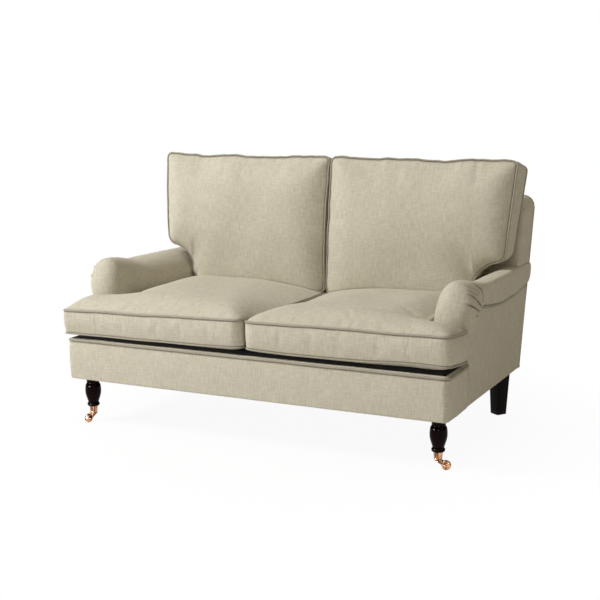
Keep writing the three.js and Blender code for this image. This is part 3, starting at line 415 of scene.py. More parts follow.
def nearest_line(lines, place):
    """Number of the grid line nearest to a place."""
    return int(np.argmin(abs(lines - place)))


def whole_panel(columns, rows):
    """Which cells of a grid a plain rectangle keeps, all of them, and its corners."""
    last_i, last_j = len(columns) - 1, len(rows) - 1
    return np.ones((last_i, last_j), bool), [(0, 0), (last_i, 0), (last_i, last_j), (0, last_j)]


def straight_wall(first, second, share, along):
    """Boxing that runs straight between its two edges: the edges in shares that add to 1."""
    return first * (1 - share[..., None]) + second * share[..., None]


def boxed_pad(name, columns, rows, kept, corners, place, wall, shares, material, seam_shade=True, **where):
    """A boxed cover over a grid. place(u, v, side) gives the points of the two panels, side 1 and -1,
    and wall(first, second, share, along) those of the boxing between their edges. Returns the piece and
    the two seams."""
    used, cells, edge = panel_layout(kept, corners)
    u = np.broadcast_to(columns[:, None], used.shape)[used]
    v = np.broadcast_to(rows[None, :], used.shape)[used]
    upper, lower = place(u, v, 1), place(u, v, -1)
    count, length = len(upper), len(edge)
    levels = len(shares) - 1
    share = np.array(shares[1:-1])[:, None]
    along = lengths_along(upper[edge], closed=True)
    depth = np.linalg.norm(upper[edge] - lower[edge], axis=1).mean()
    ring = wall(upper[edge][None], lower[edge][None], share, along[None, :-1])
    points = np.concatenate([upper, lower, ring.reshape(-1, 3)])
    between = 2 * count + np.arange((levels - 1) * length).reshape(levels - 1, length)
    numbers = np.concatenate([edge[None], between, count + edge[None]])
    numbers = np.concatenate([numbers, numbers[:, :1]], 1)
    from_above = [3, 2, 1, 0]  # the order of a quad's corners that turns the boxing outwards
    walls = grid_corners(numbers)[..., from_above].reshape(-1, 4)
    quads = np.concatenate([cells, cells[:, ::-1] + count, walls])
    flat = np.stack([u, v], -1)
    height = np.array(shares)[:, None] * depth + 0 * along[None]
    strip = np.stack([along[None] + 0 * height, height], -1)
    wall_places = grid_corners(strip)[:, :, from_above].reshape(-1, 4, 2)
    places = np.concatenate([flat[cells], flat[cells[:, ::-1]], wall_places])
    fold = None
    # painted shade beside the seams: each point's share of the darker colour
    if seam_shade:
        outline = [(columns[i], rows[j]) for i, j in corners]
        panel_shade = np.exp(-(edge_distance(u, v, outline) / SEAM_SHADE) ** 2)
        from_seam = np.minimum(share, 1 - share) * depth + 0 * along[None, :-1]
        wall_shade = np.exp(-(from_seam / SEAM_SHADE) ** 2)
        fold = np.concatenate([panel_shade, panel_shade, wall_shade.ravel()])
    piece = build(name, points, quads, places, material, fold=fold, **where)
    piece["seam_points"] = [int(x) for x in np.concatenate([edge, count + edge])]
    return piece, upper[edge], lower[edge]


def shoulder(distance):
    """How far the cloth stands up beside a seam: none at the seam, and nearly all 6 mm from it."""
    return SEAM_SHOULDER * (1 - np.exp(-distance / (2.5 * MM)))


def inflate(piece, free):
    """Fills a cover by a cloth simulation with its seams held: the cloth is cut slightly large and blown
    up, so that it swells between the seams and puckers beside them. free(points) is the share of the
    movement that each place keeps, and the cap times tanh(length / cap) is the length that is left."""
    seams = piece.vertex_groups.new(name="seams")
    seams.add(list(piece["seam_points"]), 1.0, "REPLACE")
    cloth = piece.modifiers.new("filling", "CLOTH")
    cloth.settings.vertex_group_mass = "seams"
    cloth.settings.use_pressure = True
    cloth.settings.uniform_pressure_force = FILLING_PRESSURE
    cloth.settings.shrink_min = -0.004
    cloth.settings.effector_weights.gravity = 0
    for frame_number in range(1, FILLING_FRAMES + 1):
        bpy.context.scene.frame_set(frame_number)
    drawn = np.empty(len(piece.data.vertices) * 3)
    filled = drawn.copy()
    piece.data.vertices.foreach_get("co", drawn)
    filled_piece = piece.evaluated_get(bpy.context.evaluated_depsgraph_get())
    filled_piece.data.vertices.foreach_get("co", filled)
    drawn, filled = drawn.reshape(-1, 3), filled.reshape(-1, 3)
    piece.modifiers.remove(cloth)
    piece.vertex_groups.remove(seams)
    bpy.context.scene.frame_set(1)
    way = filled - drawn
    length = np.linalg.norm(way, axis=1, keepdims=True)
    way *= np.tanh(length / FILLING_CAP) * FILLING_CAP / np.maximum(length, 1e-9)
    piece.data.vertices.foreach_set("co", (drawn + way * free(drawn)[:, None]).ravel())
    piece.data.update()


# Materials

FOLD_SHADE = 0.88  # how far the cloth's colour is painted darker in a seam or a pleat: painted shade of a groove that lies deeper than the mesh draws


def colour(code):
    """A hex sRGB colour as a linear one."""
    srgb = np.array([int(code[k:k + 2], 16) / 255 for k in (1, 3, 5)])
    linear = np.where(srgb <= 0.04045, srgb / 12.92, ((srgb + 0.055) / 1.055) ** 2.4)
    return (*linear, 1.0)


def add_node(tree, kind, inputs=None, **settings):
    """Adds a node. settings are its own properties, and inputs gives each socket, by name or number,
    a value or the socket that feeds it."""
    node = tree.nodes.new(kind)
    for key, value in settings.items():
        setattr(node, key, value)
    for key, value in (inputs or {}).items():
        if isinstance(value, bpy.types.NodeSocket):
            tree.links.new(value, node.inputs[key])
        else:
            node.inputs[key].default_value = value
    return node


def new_material(name):
    """A material with an empty tree, its tree and the tree's output."""
    material = bpy.data.materials.new(name)
    material.use_nodes = True
    tree = material.node_tree
    tree.nodes.clear()
    output = add_node(tree, "ShaderNodeOutputMaterial")
    return material, tree, output


def woven(name, light, dark, thread, slub, roughness, depth, contrast=1.0):
    """A plain weave: two sets of threads a given spacing apart, with slubs, thick soft stretches of
    single threads, mostly along the warp. Read from the cloth's own places, in metres. Where a seam or a
    pleat folds it in, its colour is painted darker, as painted shade."""
    material, tree, output = new_material(name)
    place = add_node(tree, "ShaderNodeUVMap", uv_map="cloth").outputs["UV"]
    slubs = []
    for stretch in ((1 / slub, 0.1 / slub, 1), (0.12 / slub, 0.9 / slub, 1)):
        drawn = add_node(tree, "ShaderNodeMapping", {"Vector": place, "Scale": stretch}).outputs[0]
        noise = add_node(tree, "ShaderNodeTexNoise", {
            "Vector": drawn, "Scale": 1.0, "Detail": 2.0, "Roughness": 0.6}, noise_dimensions="2D")
        slubs.append(noise.outputs[0])
    warp_slub, weft_slub = slubs
    # the wave texture draws a band every pi / 10 of its scale
    over, under = (add_node(tree, "ShaderNodeTexWave", {
        "Vector": place, "Scale": np.pi / 10 / thread, "Distortion": 0.0},
        wave_type="BANDS", bands_direction=axis).outputs[1] for axis in "XY")
    crossing = add_node(tree, "ShaderNodeMath", {0: over, 1: under}, operation="MULTIPLY").outputs[0]
    cloudy = add_node(tree, "ShaderNodeTexNoise", {"Vector": place, "Scale": 14.0, "Detail": 3.0},
                      noise_dimensions="2D").outputs[0]
    # share of the light colour: slubs along the warp most, then across, the weave and slow clouds
    parts = ((warp_slub, 0.7 * contrast), (weft_slub, 0.5 * contrast), (crossing, 0.2), (cloudy, 0.16))
    total = None
    for value, weight in parts:
        scaled = add_node(tree, "ShaderNodeMath", {0: value, 1: 0.5}, operation="SUBTRACT").outputs[0]
        start = 0.55 if total is None else total
        total = add_node(tree, "ShaderNodeMath", {0: scaled, 1: weight, 2: start},
                         operation="MULTIPLY_ADD").outputs[0]
    blend = add_node(tree, "ShaderNodeMix", {0: total, 6: colour(dark), 7: colour(light)}, data_type="RGBA",
                     clamp_factor=True)
    # painted shade: the fold attribute mixes the colour towards dark brown in seams and pleats
    fold = add_node(tree, "ShaderNodeAttribute", attribute_name="fold",
                    attribute_type="GEOMETRY").outputs["Fac"]
    shade = add_node(tree, "ShaderNodeMath", {0: fold, 1: FOLD_SHADE}, operation="MULTIPLY",
                     use_clamp=True).outputs[0]
    painted_fold_shade = add_node(tree, "ShaderNodeMix", {0: shade, 6: blend.outputs[2], 7: colour("#463d2b")},
                      data_type="RGBA")
    relief = add_node(tree, "ShaderNodeMath", {0: warp_slub, 1: 1.2, 2: crossing}, operation="MULTIPLY_ADD")
    bump = add_node(tree, "ShaderNodeBump", {"Height": relief.outputs[0], "Strength": 0.4, "Distance": depth})
    shader = add_node(tree, "ShaderNodeBsdfPrincipled", {
        "Base Color": painted_fold_shade.outputs[2], "Roughness": roughness, "Specular IOR Level": 0.2,
        "Sheen Weight": 0.08, "Sheen Roughness": 0.5, "Normal": bump.outputs[0]})
    tree.links.new(shader.outputs[0], output.inputs[0])
    return material


# Linen: a matt, dry cloth with soft sheen at grazing angles. Its threads are 0.8 mm apart, too fine
# to show, so the weave is drawn twice as coarse and its slubs as streaks 4 mm wide
LINEN_WEAVE = {"thread": 1.6 * MM, "slub": 4 * MM, "roughness": 0.95}
linen = woven("greige_slub_linen", "#d9d3c1", "#a39e8f", depth=0.35 * MM, **LINEN_WEAVE)
# The same linen on the piping, cut on the bias, where only the weave shows. Its colour is painted
# darker than the panels', as painted shade along the seams
piping_linen_painted_shade = woven("greige_linen_piping_painted_shade", "#b5afa0", "#857f70", depth=0.3 * MM, contrast=0.5, **LINEN_WEAVE)
# The same piping on the rear edges of the frame, its colour painted darker still, as painted shade
rear_piping_linen_painted_shade = woven("greige_linen_rear_piping_painted_shade", "#8f8976", "#5f5946", depth=0.3 * MM, contrast=0.5,
                          **LINEN_WEAVE)
# Cotton and jute of 0.7 mm threads, dry and matt, drawn twice as coarse as well
COARSE_WEAVE = {"thread": 1.4 * MM, "slub": 4 * MM, "roughness": 0.98}
# Black cotton platform cloth under the seat cushions, its own dark colour painted darker still
# as painted shade, for the dark line below them
platform_cloth_painted_shade = woven("black_platform_cloth_painted_shade", "#15110a", "#0a0804", depth=0.2 * MM, contrast=0.5,
                       **COARSE_WEAVE)
# Jute webbing behind the back pad, plain and flat
webbing = woven("jute_back_webbing", "#8f876f", "#70694f", depth=0.2 * MM, contrast=0.5, **COARSE_WEAVE)
# Nonwoven black dust cloth, matt, with pressed fibres of 0.1 mm drawn as a grain of 1.2 mm
dust_cloth = woven("black_dust_cloth", "#2b2927", "#1b1a19", thread=1.2 * MM, slub=3 * MM, roughness=0.98,
                   depth=0.15 * MM, contrast=0.6)


def lacquered_wood(name, light, dark, coat):
    """Wood with or without a coat of clear lacquer: fine grain, 2.4 mm across and 70 mm along the
    leg, as noise drawn out along Z."""
    material, tree, output = new_material(name)
    place = add_node(tree, "ShaderNodeTexCoord").outputs["Object"]
    grain = add_node(tree, "ShaderNodeMapping", {"Vector": place, "Scale": (420, 420, 14)}).outputs[0]
    fibre = add_node(tree, "ShaderNodeTexNoise", {"Vector": grain, "Scale": 1.0, "Detail": 4.0}).outputs[0]
    blend = add_node(tree, "ShaderNodeMix", {0: fibre, 6: colour(dark), 7: colour(light)}, data_type="RGBA")
    bump = add_node(tree, "ShaderNodeBump", {"Height": fibre, "Strength": 0.15, "Distance": 0.1 * MM})
    shader = add_node(tree, "ShaderNodeBsdfPrincipled", {
        "Base Color": blend.outputs[2], "Roughness": 0.5, "Specular IOR Level": 0.0 if coat else 0.3,
        "Coat Weight": coat, "Coat IOR": 1.12, "Coat Roughness": 0.06, "Normal": bump.outputs[0]})
    tree.links.new(shader.outputs[0], output.inputs[0])
    return material


# Beech stained near black under gloss lacquer, which mirrors the lamps in small round lights
dark_wood = lacquered_wood("black_stained_beech", "#1f0d0b", "#0a0404", 1.0)
# Sawn beech of the frame, unfinished
beech = lacquered_wood("sawn_beech", "#cfae80", "#a98455", 0.0)


def plated(name, light, dark, roughness, streak, contrast):
    """Polished plated metal, its colour painted lighter and darker in streaks along its length:
    painted reflection of dark and bright surroundings.
    """
    material, tree, output = new_material(name)
    place = add_node(tree, "ShaderNodeTexCoord").outputs["Object"]
    stretch = (1 / streak, 1 / streak, 0.15 / streak)
    drawn = add_node(tree, "ShaderNodeMapping", {"Vector": place, "Scale": stretch}).outputs[0]
    cloud = add_node(tree, "ShaderNodeTexNoise", {"Vector": drawn, "Scale": 1.0, "Detail": 2.0}).outputs[0]
    # painted reflection: the streaks mix the dark and the light colour
    bright = add_node(tree, "ShaderNodeMapRange", {0: cloud, 1: 0.5 - contrast, 2: 0.5 + contrast}).outputs[0]
    blend = add_node(tree, "ShaderNodeMix", {0: bright, 6: colour(dark), 7: colour(light)}, data_type="RGBA",
                     clamp_factor=True)
    gloss = add_node(tree, "ShaderNodeMapRange", {0: cloud, 3: roughness * 0.7, 4: roughness * 1.4})
    shader = add_node(tree, "ShaderNodeBsdfPrincipled", {
        "Base Color": blend.outputs[2], "Metallic": 1.0, "Roughness": gloss.outputs[0]})
    tree.links.new(shader.outputs[0], output.inputs[0])
    return material


# Copper plate on brass, polished, with dark brown and light streaks painted in its colour as painted
# reflection
copper = plated("polished_copper_plate", "#f2bd92", "#5c301a", roughness=0.16, streak=6 * MM, contrast=0.16)
# Zinc plated steel of springs and bolts, dull grey
steel = plated("zinc_plated_steel", "#9a9b9d", "#707174", roughness=0.4, streak=10 * MM, contrast=0.5)


# Base border

BORDER_CORNER = 20 * MM  # radius of its front corners
BORDER_STEPS = (18, 7, 160)  # along a side, round a corner and along the front


def border_plan(offset):
    """Points of the border's plan moved outwards by offset: the left side, a round corner, the front, a
    round corner and the right side. Each stretch has the same share of points at every offset."""
    radius = np.maximum(BORDER_CORNER + offset, 6 * MM)
    half = HALF_WIDTH + offset
    front = FRONT - offset
    side_steps, arc_steps, front_steps = BORDER_STEPS
    side = np.linspace(0, 1, side_steps, endpoint=False)
    arc = np.linspace(0, np.pi / 2, arc_steps, endpoint=False)
    across = np.linspace(-1, 1, front_steps + 1)
    straight = half - radius
    left_y = ARM_FRONT + side * (front + radius - ARM_FRONT)
    right_y = front + radius + side * (ARM_FRONT - front - radius)
    x = np.concatenate([-half + 0 * side, -straight - radius * np.cos(arc), straight * across,
                        straight + radius * np.sin(arc[1:]), half + 0 * side, [half]])
    y = np.concatenate([left_y, front + radius - radius * np.sin(arc), front + 0 * across,
                        front + radius - radius * np.cos(arc[1:]), right_y, [ARM_FRONT]])
    return np.stack([x, y], -1)


def border_profile():
    """The border's section as (offset, height): under the base, round the bottom edge, up the face
    with a slight bulge, to the piping, then the rolled lip and down behind it."""
    bottom = LEG_HEIGHT
    edge = 6 * MM
    turn = np.linspace(0, np.pi / 2, 5)
    low = np.stack([-edge + edge * np.sin(turn), bottom + edge - edge * np.cos(turn)], -1)
    rise_share = np.linspace(0, 1, 14)[1:]
    face_height = bottom + edge + (BORDER_TOP - bottom - edge) * rise_share
    face = np.stack([BORDER_BULGE * np.sin(np.pi * rise_share), face_height], -1)
    lip_turn = np.linspace(0, np.pi, 11)
    lip = np.stack([-1.5 * MM - (LIP_WIDTH / 2) * (1 - np.cos(lip_turn)),
                    BORDER_TOP + 1.5 * MM + LIP_RISE * np.sin(lip_turn) ** 0.6], -1)
    inside = [[-LIP_WIDTH - 1.5 * MM, BORDER_TOP - 10 * MM], [-SKIN, BORDER_TOP - 12 * MM], [-SKIN, bottom]]
    return np.concatenate([low, face, lip, inside])


def base_border():
    """The front border: the section carried along the plan, with soft unevenness in its face and an
    uneven upper edge, and the piping along that edge."""
    profile = border_profile()
    plans = np.stack([border_plan(offset) for offset in profile[:, 0]], 1)
    along = lengths_along(border_plan(0.0))
    height = profile[None, :, 1] + 0 * plans[:, :, 0]
    on_face = profile[None, :, 0] > -6 * MM
    soft = 0.8 * MM * swells(along[:, None], height, 0.16, 11) * on_face
    rings = np.concatenate([plans, height[:, :, None]], 2)
    ahead = np.gradient(plans, axis=0)
    out = np.stack([ahead[:, :, 1], -ahead[:, :, 0]], -1)
    out /= np.linalg.norm(out, axis=2, keepdims=True)
    rings[:, :, :2] += out * soft[:, :, None]
    upper_edge = 0.8 * MM * waves(along, 0.35, 12)
    rings[:, :, 2] += upper_edge[:, None] * (height > BORDER_TOP)
    around = lengths_along(profile, closed=True)
    uv = np.stack([along[:, None] + 0 * around[None], around[None] + 0 * along[:, None]], -1)
    # painted shade beside the piping: each point's share of the darker colour
    from_piping = np.hypot(profile[:, 0], profile[:, 1] - BORDER_TOP)
    fold = np.repeat(np.exp(-(from_piping / SEAM_SHADE) ** 2)[None], len(along), 0).ravel()
    piece = loft("base_border", rings, linen, uv, fold=fold)
    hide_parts("front_border")
    plan = border_plan(1.2 * MM)
    path = np.concatenate([plan, BORDER_TOP + upper_edge[:, None]], 1)
    tube("base_border_piping", path, PIPING, piping_linen_painted_shade, (0, 0, 1), closed=False)


# Arms

GATHER_START = ARM_FRONT + SKIN
ROLL_TOP = back_low[2] - 0.3 * MM
ROLL_REAR_OVERHANG = 8 * MM
CREST_ACROSS, CREST_ACROSS_FRONT = 112 * MM, 84 * MM  # from the inner face to the crest
SHOULDER = BORDER_TOP + 145 * MM
CREST_FRONT = ROLL_TOP_FRONT - 7 * MM
SIDE_HEIGHT, SIDE_HEIGHT_FRONT = BORDER_TOP + 210 * MM, BORDER_TOP + 198 * MM
# Seam under the roll: (distance behind the front end of the side, rise above the border) points
ROLL_SEAM = [(12 * MM, 104 * MM), (60 * MM, 160 * MM), (95 * MM, 185 * MM), (170 * MM, 177 * MM),
             (300 * MM, 161 * MM), (420 * MM, 156 * MM), (560 * MM, 158 * MM), (760 * MM, 174 * MM)]
FRONT_OVERHANG = 6 * MM  # of the gathered cap past the solid
PANEL_RECESS = 1.5 * MM
ARM_PROFILE_STEPS = (14, 34, 34, 30, 22, 4, 12)  # of its stretches
FRONT_SHARES = np.sin(np.linspace(0.012, np.pi / 2, 34))[:-1]  # rings from the middle line to the edge
CAP_RINGS, CAP_STEP = 34, 3.5 * MM  # behind the front, close together where the pleats run
ROLL_RINGS = 42
CAP_CLOTH_RINGS = 24  # that the front's cloth covers
REAR_EDGE = 8 * MM  # radius of the arm's rear edge
CAP_MIDDLE = (ARM_INNER + FACING_DRAW + ROLL_OUTER_FRONT) / 2
CAP_SWELL = ARM_FRONT - FACING_FRONT + FRONT_DOME


def roll_seam(y):
    """Height of the seam under the roll at each y."""
    line = smooth_line(ROLL_SEAM)
    return BORDER_TOP + np.interp(y - ARM_FRONT, line[:, 0], line[:, 1])


def quarter(steps):
    """Angles of a quarter turn, without the first, as a row."""
    return np.linspace(0, np.pi / 2, steps + 1)[None, 1:]


def arm_profile(y):
    """The arm's section at each y, as X and Z of the points round it: up the inner face, a quarter
    ellipse to the crest, a quarter to the outermost line whose power grows behind the gathers, so that
    the top is flat with a tight outer edge, then in to the seam, down the side panel and round its
    bottom, and back inside the base."""
    y = np.asarray(y)[:, None]
    gathered = ease((y - GATHER_START) / GATHER_RUN)
    settled = ease((y - GATHER_START) / CREST_RUN)
    top = CREST_FRONT + (ROLL_TOP - CREST_FRONT) * settled
    side = SIDE_HEIGHT_FRONT + (SIDE_HEIGHT - SIDE_HEIGHT_FRONT) * gathered
    seam = roll_seam(y)
    inner = ARM_INNER + FACING_DRAW * (1 - gathered)
    crest = ARM_INNER + CREST_ACROSS_FRONT + (CREST_ACROSS - CREST_ACROSS_FRONT) * settled
    power = 2 + (ROLL_POWER - 2) * settled
    along = (y - ARM_FRONT) / (rear_face(ROLL_TOP_FRONT) - ARM_FRONT)
    overhang = (ROLL_OUTER_FRONT - HALF_WIDTH) * (1 - along) + ROLL_REAR_OVERHANG * along
    overhang = overhang + FRONT_OVERHANG * (1 - settled)
    a, b, c, d, e, f, g = ARM_PROFILE_STEPS
    one = np.ones_like(y)
    rise_share = np.linspace(0, 1, a)[None]
    xs = [ARM_INNER + (inner - ARM_INNER) * rise_share]
    zs = [ARM_BOTTOM + (SHOULDER - ARM_BOTTOM) * rise_share * one]
    turn = quarter(b)
    # beside the back, where the back cushion hides it, the roll is stuffed square to meet the back
    beside_back = ease((y - rear_face(ROLL_TOP) + BACK_THICKNESS + 50 * MM) / (50 * MM))
    inner_power = 2 + 12 * beside_back
    reach = (np.sin(turn) ** inner_power + np.cos(turn) ** inner_power) ** (-1 / inner_power)
    xs.append(crest - (crest - inner) * np.cos(turn) * reach)
    zs.append(SHOULDER + (top - SHOULDER) * np.sin(turn) * reach)
    turn = quarter(c)
    reach = (np.sin(turn) ** power + np.cos(turn) ** power) ** (-1 / power)
    xs.append(crest + (HALF_WIDTH + overhang - crest) * np.sin(turn) * reach)
    zs.append(side + (top - side) * np.cos(turn) * reach)
    turn = quarter(d)
    panel = HALF_WIDTH - PANEL_RECESS
    xs.append(panel + (HALF_WIDTH + overhang - panel) * np.cos(turn))
    zs.append(side + (seam - side) * np.sin(turn))
    # side panel, slightly pillowed below the seam
    share = np.linspace(0, 1, e + 1)[None, 1:]
    bottom = LEG_HEIGHT + 3 * MM
    edge = 5 * MM
    xs.append((panel + 1.5 * MM * np.sin(np.pi * share)) * one)
    zs.append(seam + (bottom + edge - seam) * share)
    turn = quarter(f)
    xs.append((panel - edge + edge * np.cos(turn)) * one)
    zs.append((bottom + edge - edge * np.sin(turn)) * one)
    share = np.linspace(0, 1, g + 2)[None, 1:-1]
    deep_x, deep_z = HALF_WIDTH - SKIN, ARM_BOTTOM
    first, second = np.minimum(share * 2, 1), np.maximum(share * 2 - 1, 0)
    xs.append((deep_x + (ARM_INNER + 2 * MM - deep_x) * second) * one)
    zs.append((bottom + (deep_z - bottom) * first) * one)
    return np.concatenate(xs, 1), np.concatenate(zs, 1)


def ring_normals(ring):
    """Outward normals of a ring of (X, Z) points that runs up the inner face and down the outer one."""
    tangent = np.roll(ring, -1, 0) - np.roll(ring, 1, 0)
    normal = np.stack([-tangent[:, 1], tangent[:, 0]], -1)
    return normal / np.linalg.norm(normal, axis=1, keepdims=True)


def arm_front(outline):
    """Rings of the gathered front, from its middle line outwards. Each place has a share of the way from
    the middle line to the outline, and its depth is the swell times a rounded fall with that share.
    Below the seat cushion the front stays flat, where the border butts against it."""
    half = (ROLL_OUTER_FRONT - ARM_INNER - FACING_DRAW) / 2
    middle = np.stack([np.full(len(outline), CAP_MIDDLE),
                       np.clip(outline[:, 1], LEG_HEIGHT + half, SHOULDER)], -1)
    rings = []
    for share in FRONT_SHARES:
        plan = middle + (outline - middle) * share
        above = ease((plan[:, 1:] - DECK_TOP - 2 * MM) / (40 * MM))
        depth = CAP_SWELL * (1 - share ** FRONT_POWER) ** (1 / FRONT_POWER)
        rings.append(np.concatenate([plan[:, :1], ARM_FRONT - depth * above, plan[:, 1:]], 1))
    return rings, np.array([CAP_MIDDLE, SHOULDER])


def arm_rear(outline, middle):
    """Rings round the arm's rear edge and in over its rear face, which leans."""
    normal = ring_normals(outline)
    rings = []
    for turn in np.linspace(0, np.pi / 2, 5)[1:]:
        plan = outline - normal * REAR_EDGE * (1 - np.cos(turn))
        depth = rear_face(plan[:, 1:]) - REAR_EDGE + REAR_EDGE * np.sin(turn)
        rings.append(np.concatenate([plan[:, :1], depth, plan[:, 1:]], 1))
    last = rings[-1]
    for share in (0.7, 0.35):
        plan = middle + (last[:, ::2] - middle) * share
        rings.append(np.stack([plan[:, 0], rear_face(plan[:, 1]), plan[:, 1]], -1))
    return rings


def arm(side, direction):
    """One closed cover: rings over the domed front, round its edge, and back along the roll to the
    leaning rear face."""
    near = ARM_FRONT + np.arange(0, CAP_RINGS) * CAP_STEP
    stations = np.concatenate([near, np.linspace(near[-1], rear_face(ROLL_TOP) - REAR_EDGE, ROLL_RINGS)[1:]])
    x, z = arm_profile(stations)
    y = np.repeat(stations[:, None], x.shape[1], 1)
    # towards the end the rings lean with the rear face
    lean_share = (y - ARM_FRONT) / (stations[-1] - ARM_FRONT)
    y = y + (rear_face(z) - rear_face(ROLL_TOP)) * lean_share ** 2
    outline = np.stack([x[0], z[0]], -1)
    front, middle = arm_front(outline)
    rear = arm_rear(np.stack([x[-1], z[-1]], -1), middle)
    rings = np.concatenate([np.stack(front), np.stack([x, y, z], -1), np.stack(rear)])
    rings, fold = arm_details(rings, len(front), direction)
    # behind the seam of the cap the cloth runs along and round the roll
    round_length = np.stack([lengths_along(ring, closed=True) for ring in rings])
    around = np.concatenate([rings, rings[:, :1]], 1)
    uv = np.stack([around[:, :, 1], round_length], -1)
    # the cap's cloth is laid over the front from its middle, so its places keep their true distance
    between = np.linalg.norm(np.diff(around, axis=0), axis=2)
    out = np.concatenate([np.zeros((1, around.shape[1])), np.cumsum(between, 0)])
    away = around[:, :, ::2] - middle
    length = np.linalg.norm(away, axis=2)
    front_uv = away / np.maximum(length, 1e-9)[..., None] * (out + length[:1])[..., None]
    rings[:, :, 0] *= direction
    piece = loft(f"arm_{side}", rings, linen, uv, front_uv=front_uv, front_rows=len(front) + CAP_CLOTH_RINGS,
                 fold=fold)
    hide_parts(f"arm_pad_{side}", f"arm_facing_{side}", f"outside_arm_{side}")


# Pleats and seams of the gathered cap on the outer side of the roll: the depth of the fold, then its
# line of (X, distance behind the front end of the side, Z) points
PLEATS = [
    (2.4 * MM, [(715, 42, 594), (724, 48, 591), (733, 54, 586), (741, 61, 577), (747, 72, 567),
                (750, 78, 555), (751, 79, 537), (744, 80, 518), (735, 88, 505)]),
    (5.0 * MM, [(722, -42, 567), (727, -38, 567), (736, -32, 566), (746, -19, 561), (754, 4, 543),
                (753, 32, 526), (747, 63, 512), (735, 88, 505)]),
    (5.0 * MM, [(708, -54, 538), (715, -52, 538), (728, -48, 537), (740, -41, 534), (753, -17, 520),
                (752, 15, 507), (745, 50, 497), (738, 80, 488)]),
    (3.0 * MM, [(752, -8, 492), (747, 35, 481), (739, 88, 466)]),
    (1.8 * MM, [(715, -32, 580), (730, -25, 576), (744, -4, 568), (750, 30, 554)]),
    (1.4 * MM, [(718, -5, 590), (732, 4, 585), (743, 20, 575), (749, 50, 558)]),
]
PLEAT_WIDTH = 6 * MM
PLEAT_SHADE = 2.8 * MM  # width of the shade in a pleat
PLEAT_WEIGHTS = np.array([0.4, 1, 1])  # of a distance along each axis
ROLL_SEAM_DEPTH, ROLL_SEAM_WIDTH, ROLL_SEAM_SHADE = 2.0 * MM, 3.0 * MM, 2.5 * MM


def segment_distance(points, line):
    """Distance from each point to a line of points, which side of it the point is on when seen from the
    outer side, and the share of the line's length at the nearest place."""
    best = np.full(points.shape[:-1], 1e9)
    side = np.zeros_like(best)
    at = np.zeros_like(best)
    lengths = lengths_along(line)
    for k in range(len(line) - 1):
        a, d = line[k], line[k + 1] - line[k]
        share = np.clip(((points - a) @ d) / (d @ d), 0, 1)
        away = points - a - share[..., None] * d
        distance = np.linalg.norm(away, axis=-1)
        nearer = distance < best
        best = np.where(nearer, distance, best)
        side = np.where(nearer, np.sign(away[..., 2] * d[1] - away[..., 1] * d[2]), side)
        at = np.where(nearer, (lengths[k] + share * np.linalg.norm(d)) / lengths[-1], at)
    return best, side, at


def arm_details(rings, front_count, direction):
    """Folds of the gathered cap, its seam and the one under the roll, and soft unevenness, with
    painted shade in the pleats and along the seam under the roll.
    """
    out = np.cross(np.gradient(rings, axis=0), np.roll(rings, -1, 1) - np.roll(rings, 1, 1))
    out /= np.maximum(np.linalg.norm(out, axis=2, keepdims=True), 1e-12)
    centre = rings.mean(1, keepdims=True)
    out *= np.sign(np.einsum("ijk,ijk->ij", out, rings - centre)[front_count:-6].mean())
    x, y, z = (rings[..., k] for k in range(3))
    lift = np.zeros(rings.shape[:2])
    shade = np.zeros(rings.shape[:2])
    for depth, line in PLEATS:
        path = np.array(line) * MM
        path[:, 1] += ARM_FRONT
        distance, side, at = segment_distance(rings * PLEAT_WEIGHTS, path * PLEAT_WEIGHTS)
        begun = ease(at / 0.18)
        fold = np.exp(-(distance / (PLEAT_WIDTH * 0.5)) ** 2)
        puff = np.exp(-((distance - PLEAT_WIDTH) / PLEAT_WIDTH) ** 2) * (side > 0)
        lift += begun * depth * (0.7 * puff - fold)
        fade = begun * min(depth / (3 * MM), 1)
        shade = np.maximum(shade, fade * np.exp(-(distance / PLEAT_SHADE) ** 2))
    from_seam = z - roll_seam(y)
    behind = ease((y - GATHER_START - 0.75 * GATHER_RUN) / (0.1 * GATHER_RUN)) * (x > HALF_WIDTH - 9 * MM)
    lift -= ROLL_SEAM_DEPTH * np.exp(-(from_seam / ROLL_SEAM_WIDTH) ** 2) * behind
    shade = np.maximum(shade, 0.7 * behind * np.exp(-(from_seam / ROLL_SEAM_SHADE) ** 2))
    soft = ease((z - DECK_TOP) / 0.05)
    lift += 1.0 * MM * swells(y + 0.3 * x, z + 0.7 * x, 0.13, 21 + int(direction)) * soft
    lift[:front_count] *= ease(np.arange(front_count) / 9)[:, None]
    return rings + out * lift[..., None], shade.ravel()


for side, direction in (("left", -1), ("right", 1)):
    arm(side, direction)
base_border()


# Cushions

def seam_outward(loop):
    """Outward normals of a closed loop of places in a plane."""
    after = np.roll(loop, -1, 0)
    ahead = after - np.roll(loop, 1, 0)
    out = np.stack([ahead[:, 1], -ahead[:, 0]], -1)
    out /= np.linalg.norm(out, axis=1, keepdims=True)
    area = np.einsum("i,i->", loop[:, 0], after[:, 1]) - np.einsum("i,i->", loop[:, 1], after[:, 0])
    return out if area > 0 else -out


def lines_by_way_of(start, seam, end):
    """Grid lines of a cushion from start to end, with a seam on the way."""
    before, after = lines_between(start, seam, CUSHION_STEP), lines_between(seam, end, CUSHION_STEP)
    return np.concatenate([before, after[1:]])


# How far the front seams of each seat cushion stand above their level line, from the inner corner to
# the outer one: shares of the way, then the upper seam and the lower seam in mm
SEAT_LIFT_SHARES = (0, 0.3, 0.55, 0.78, 1)
SEAT_LIFTS = {
    "left": ((8, 2, -5, -7, -13), (11, 5, 3, 3, 2)),
    "right": ((4, 8, 10, 10, 13), (9, 5, 6, 15, 14)),
}


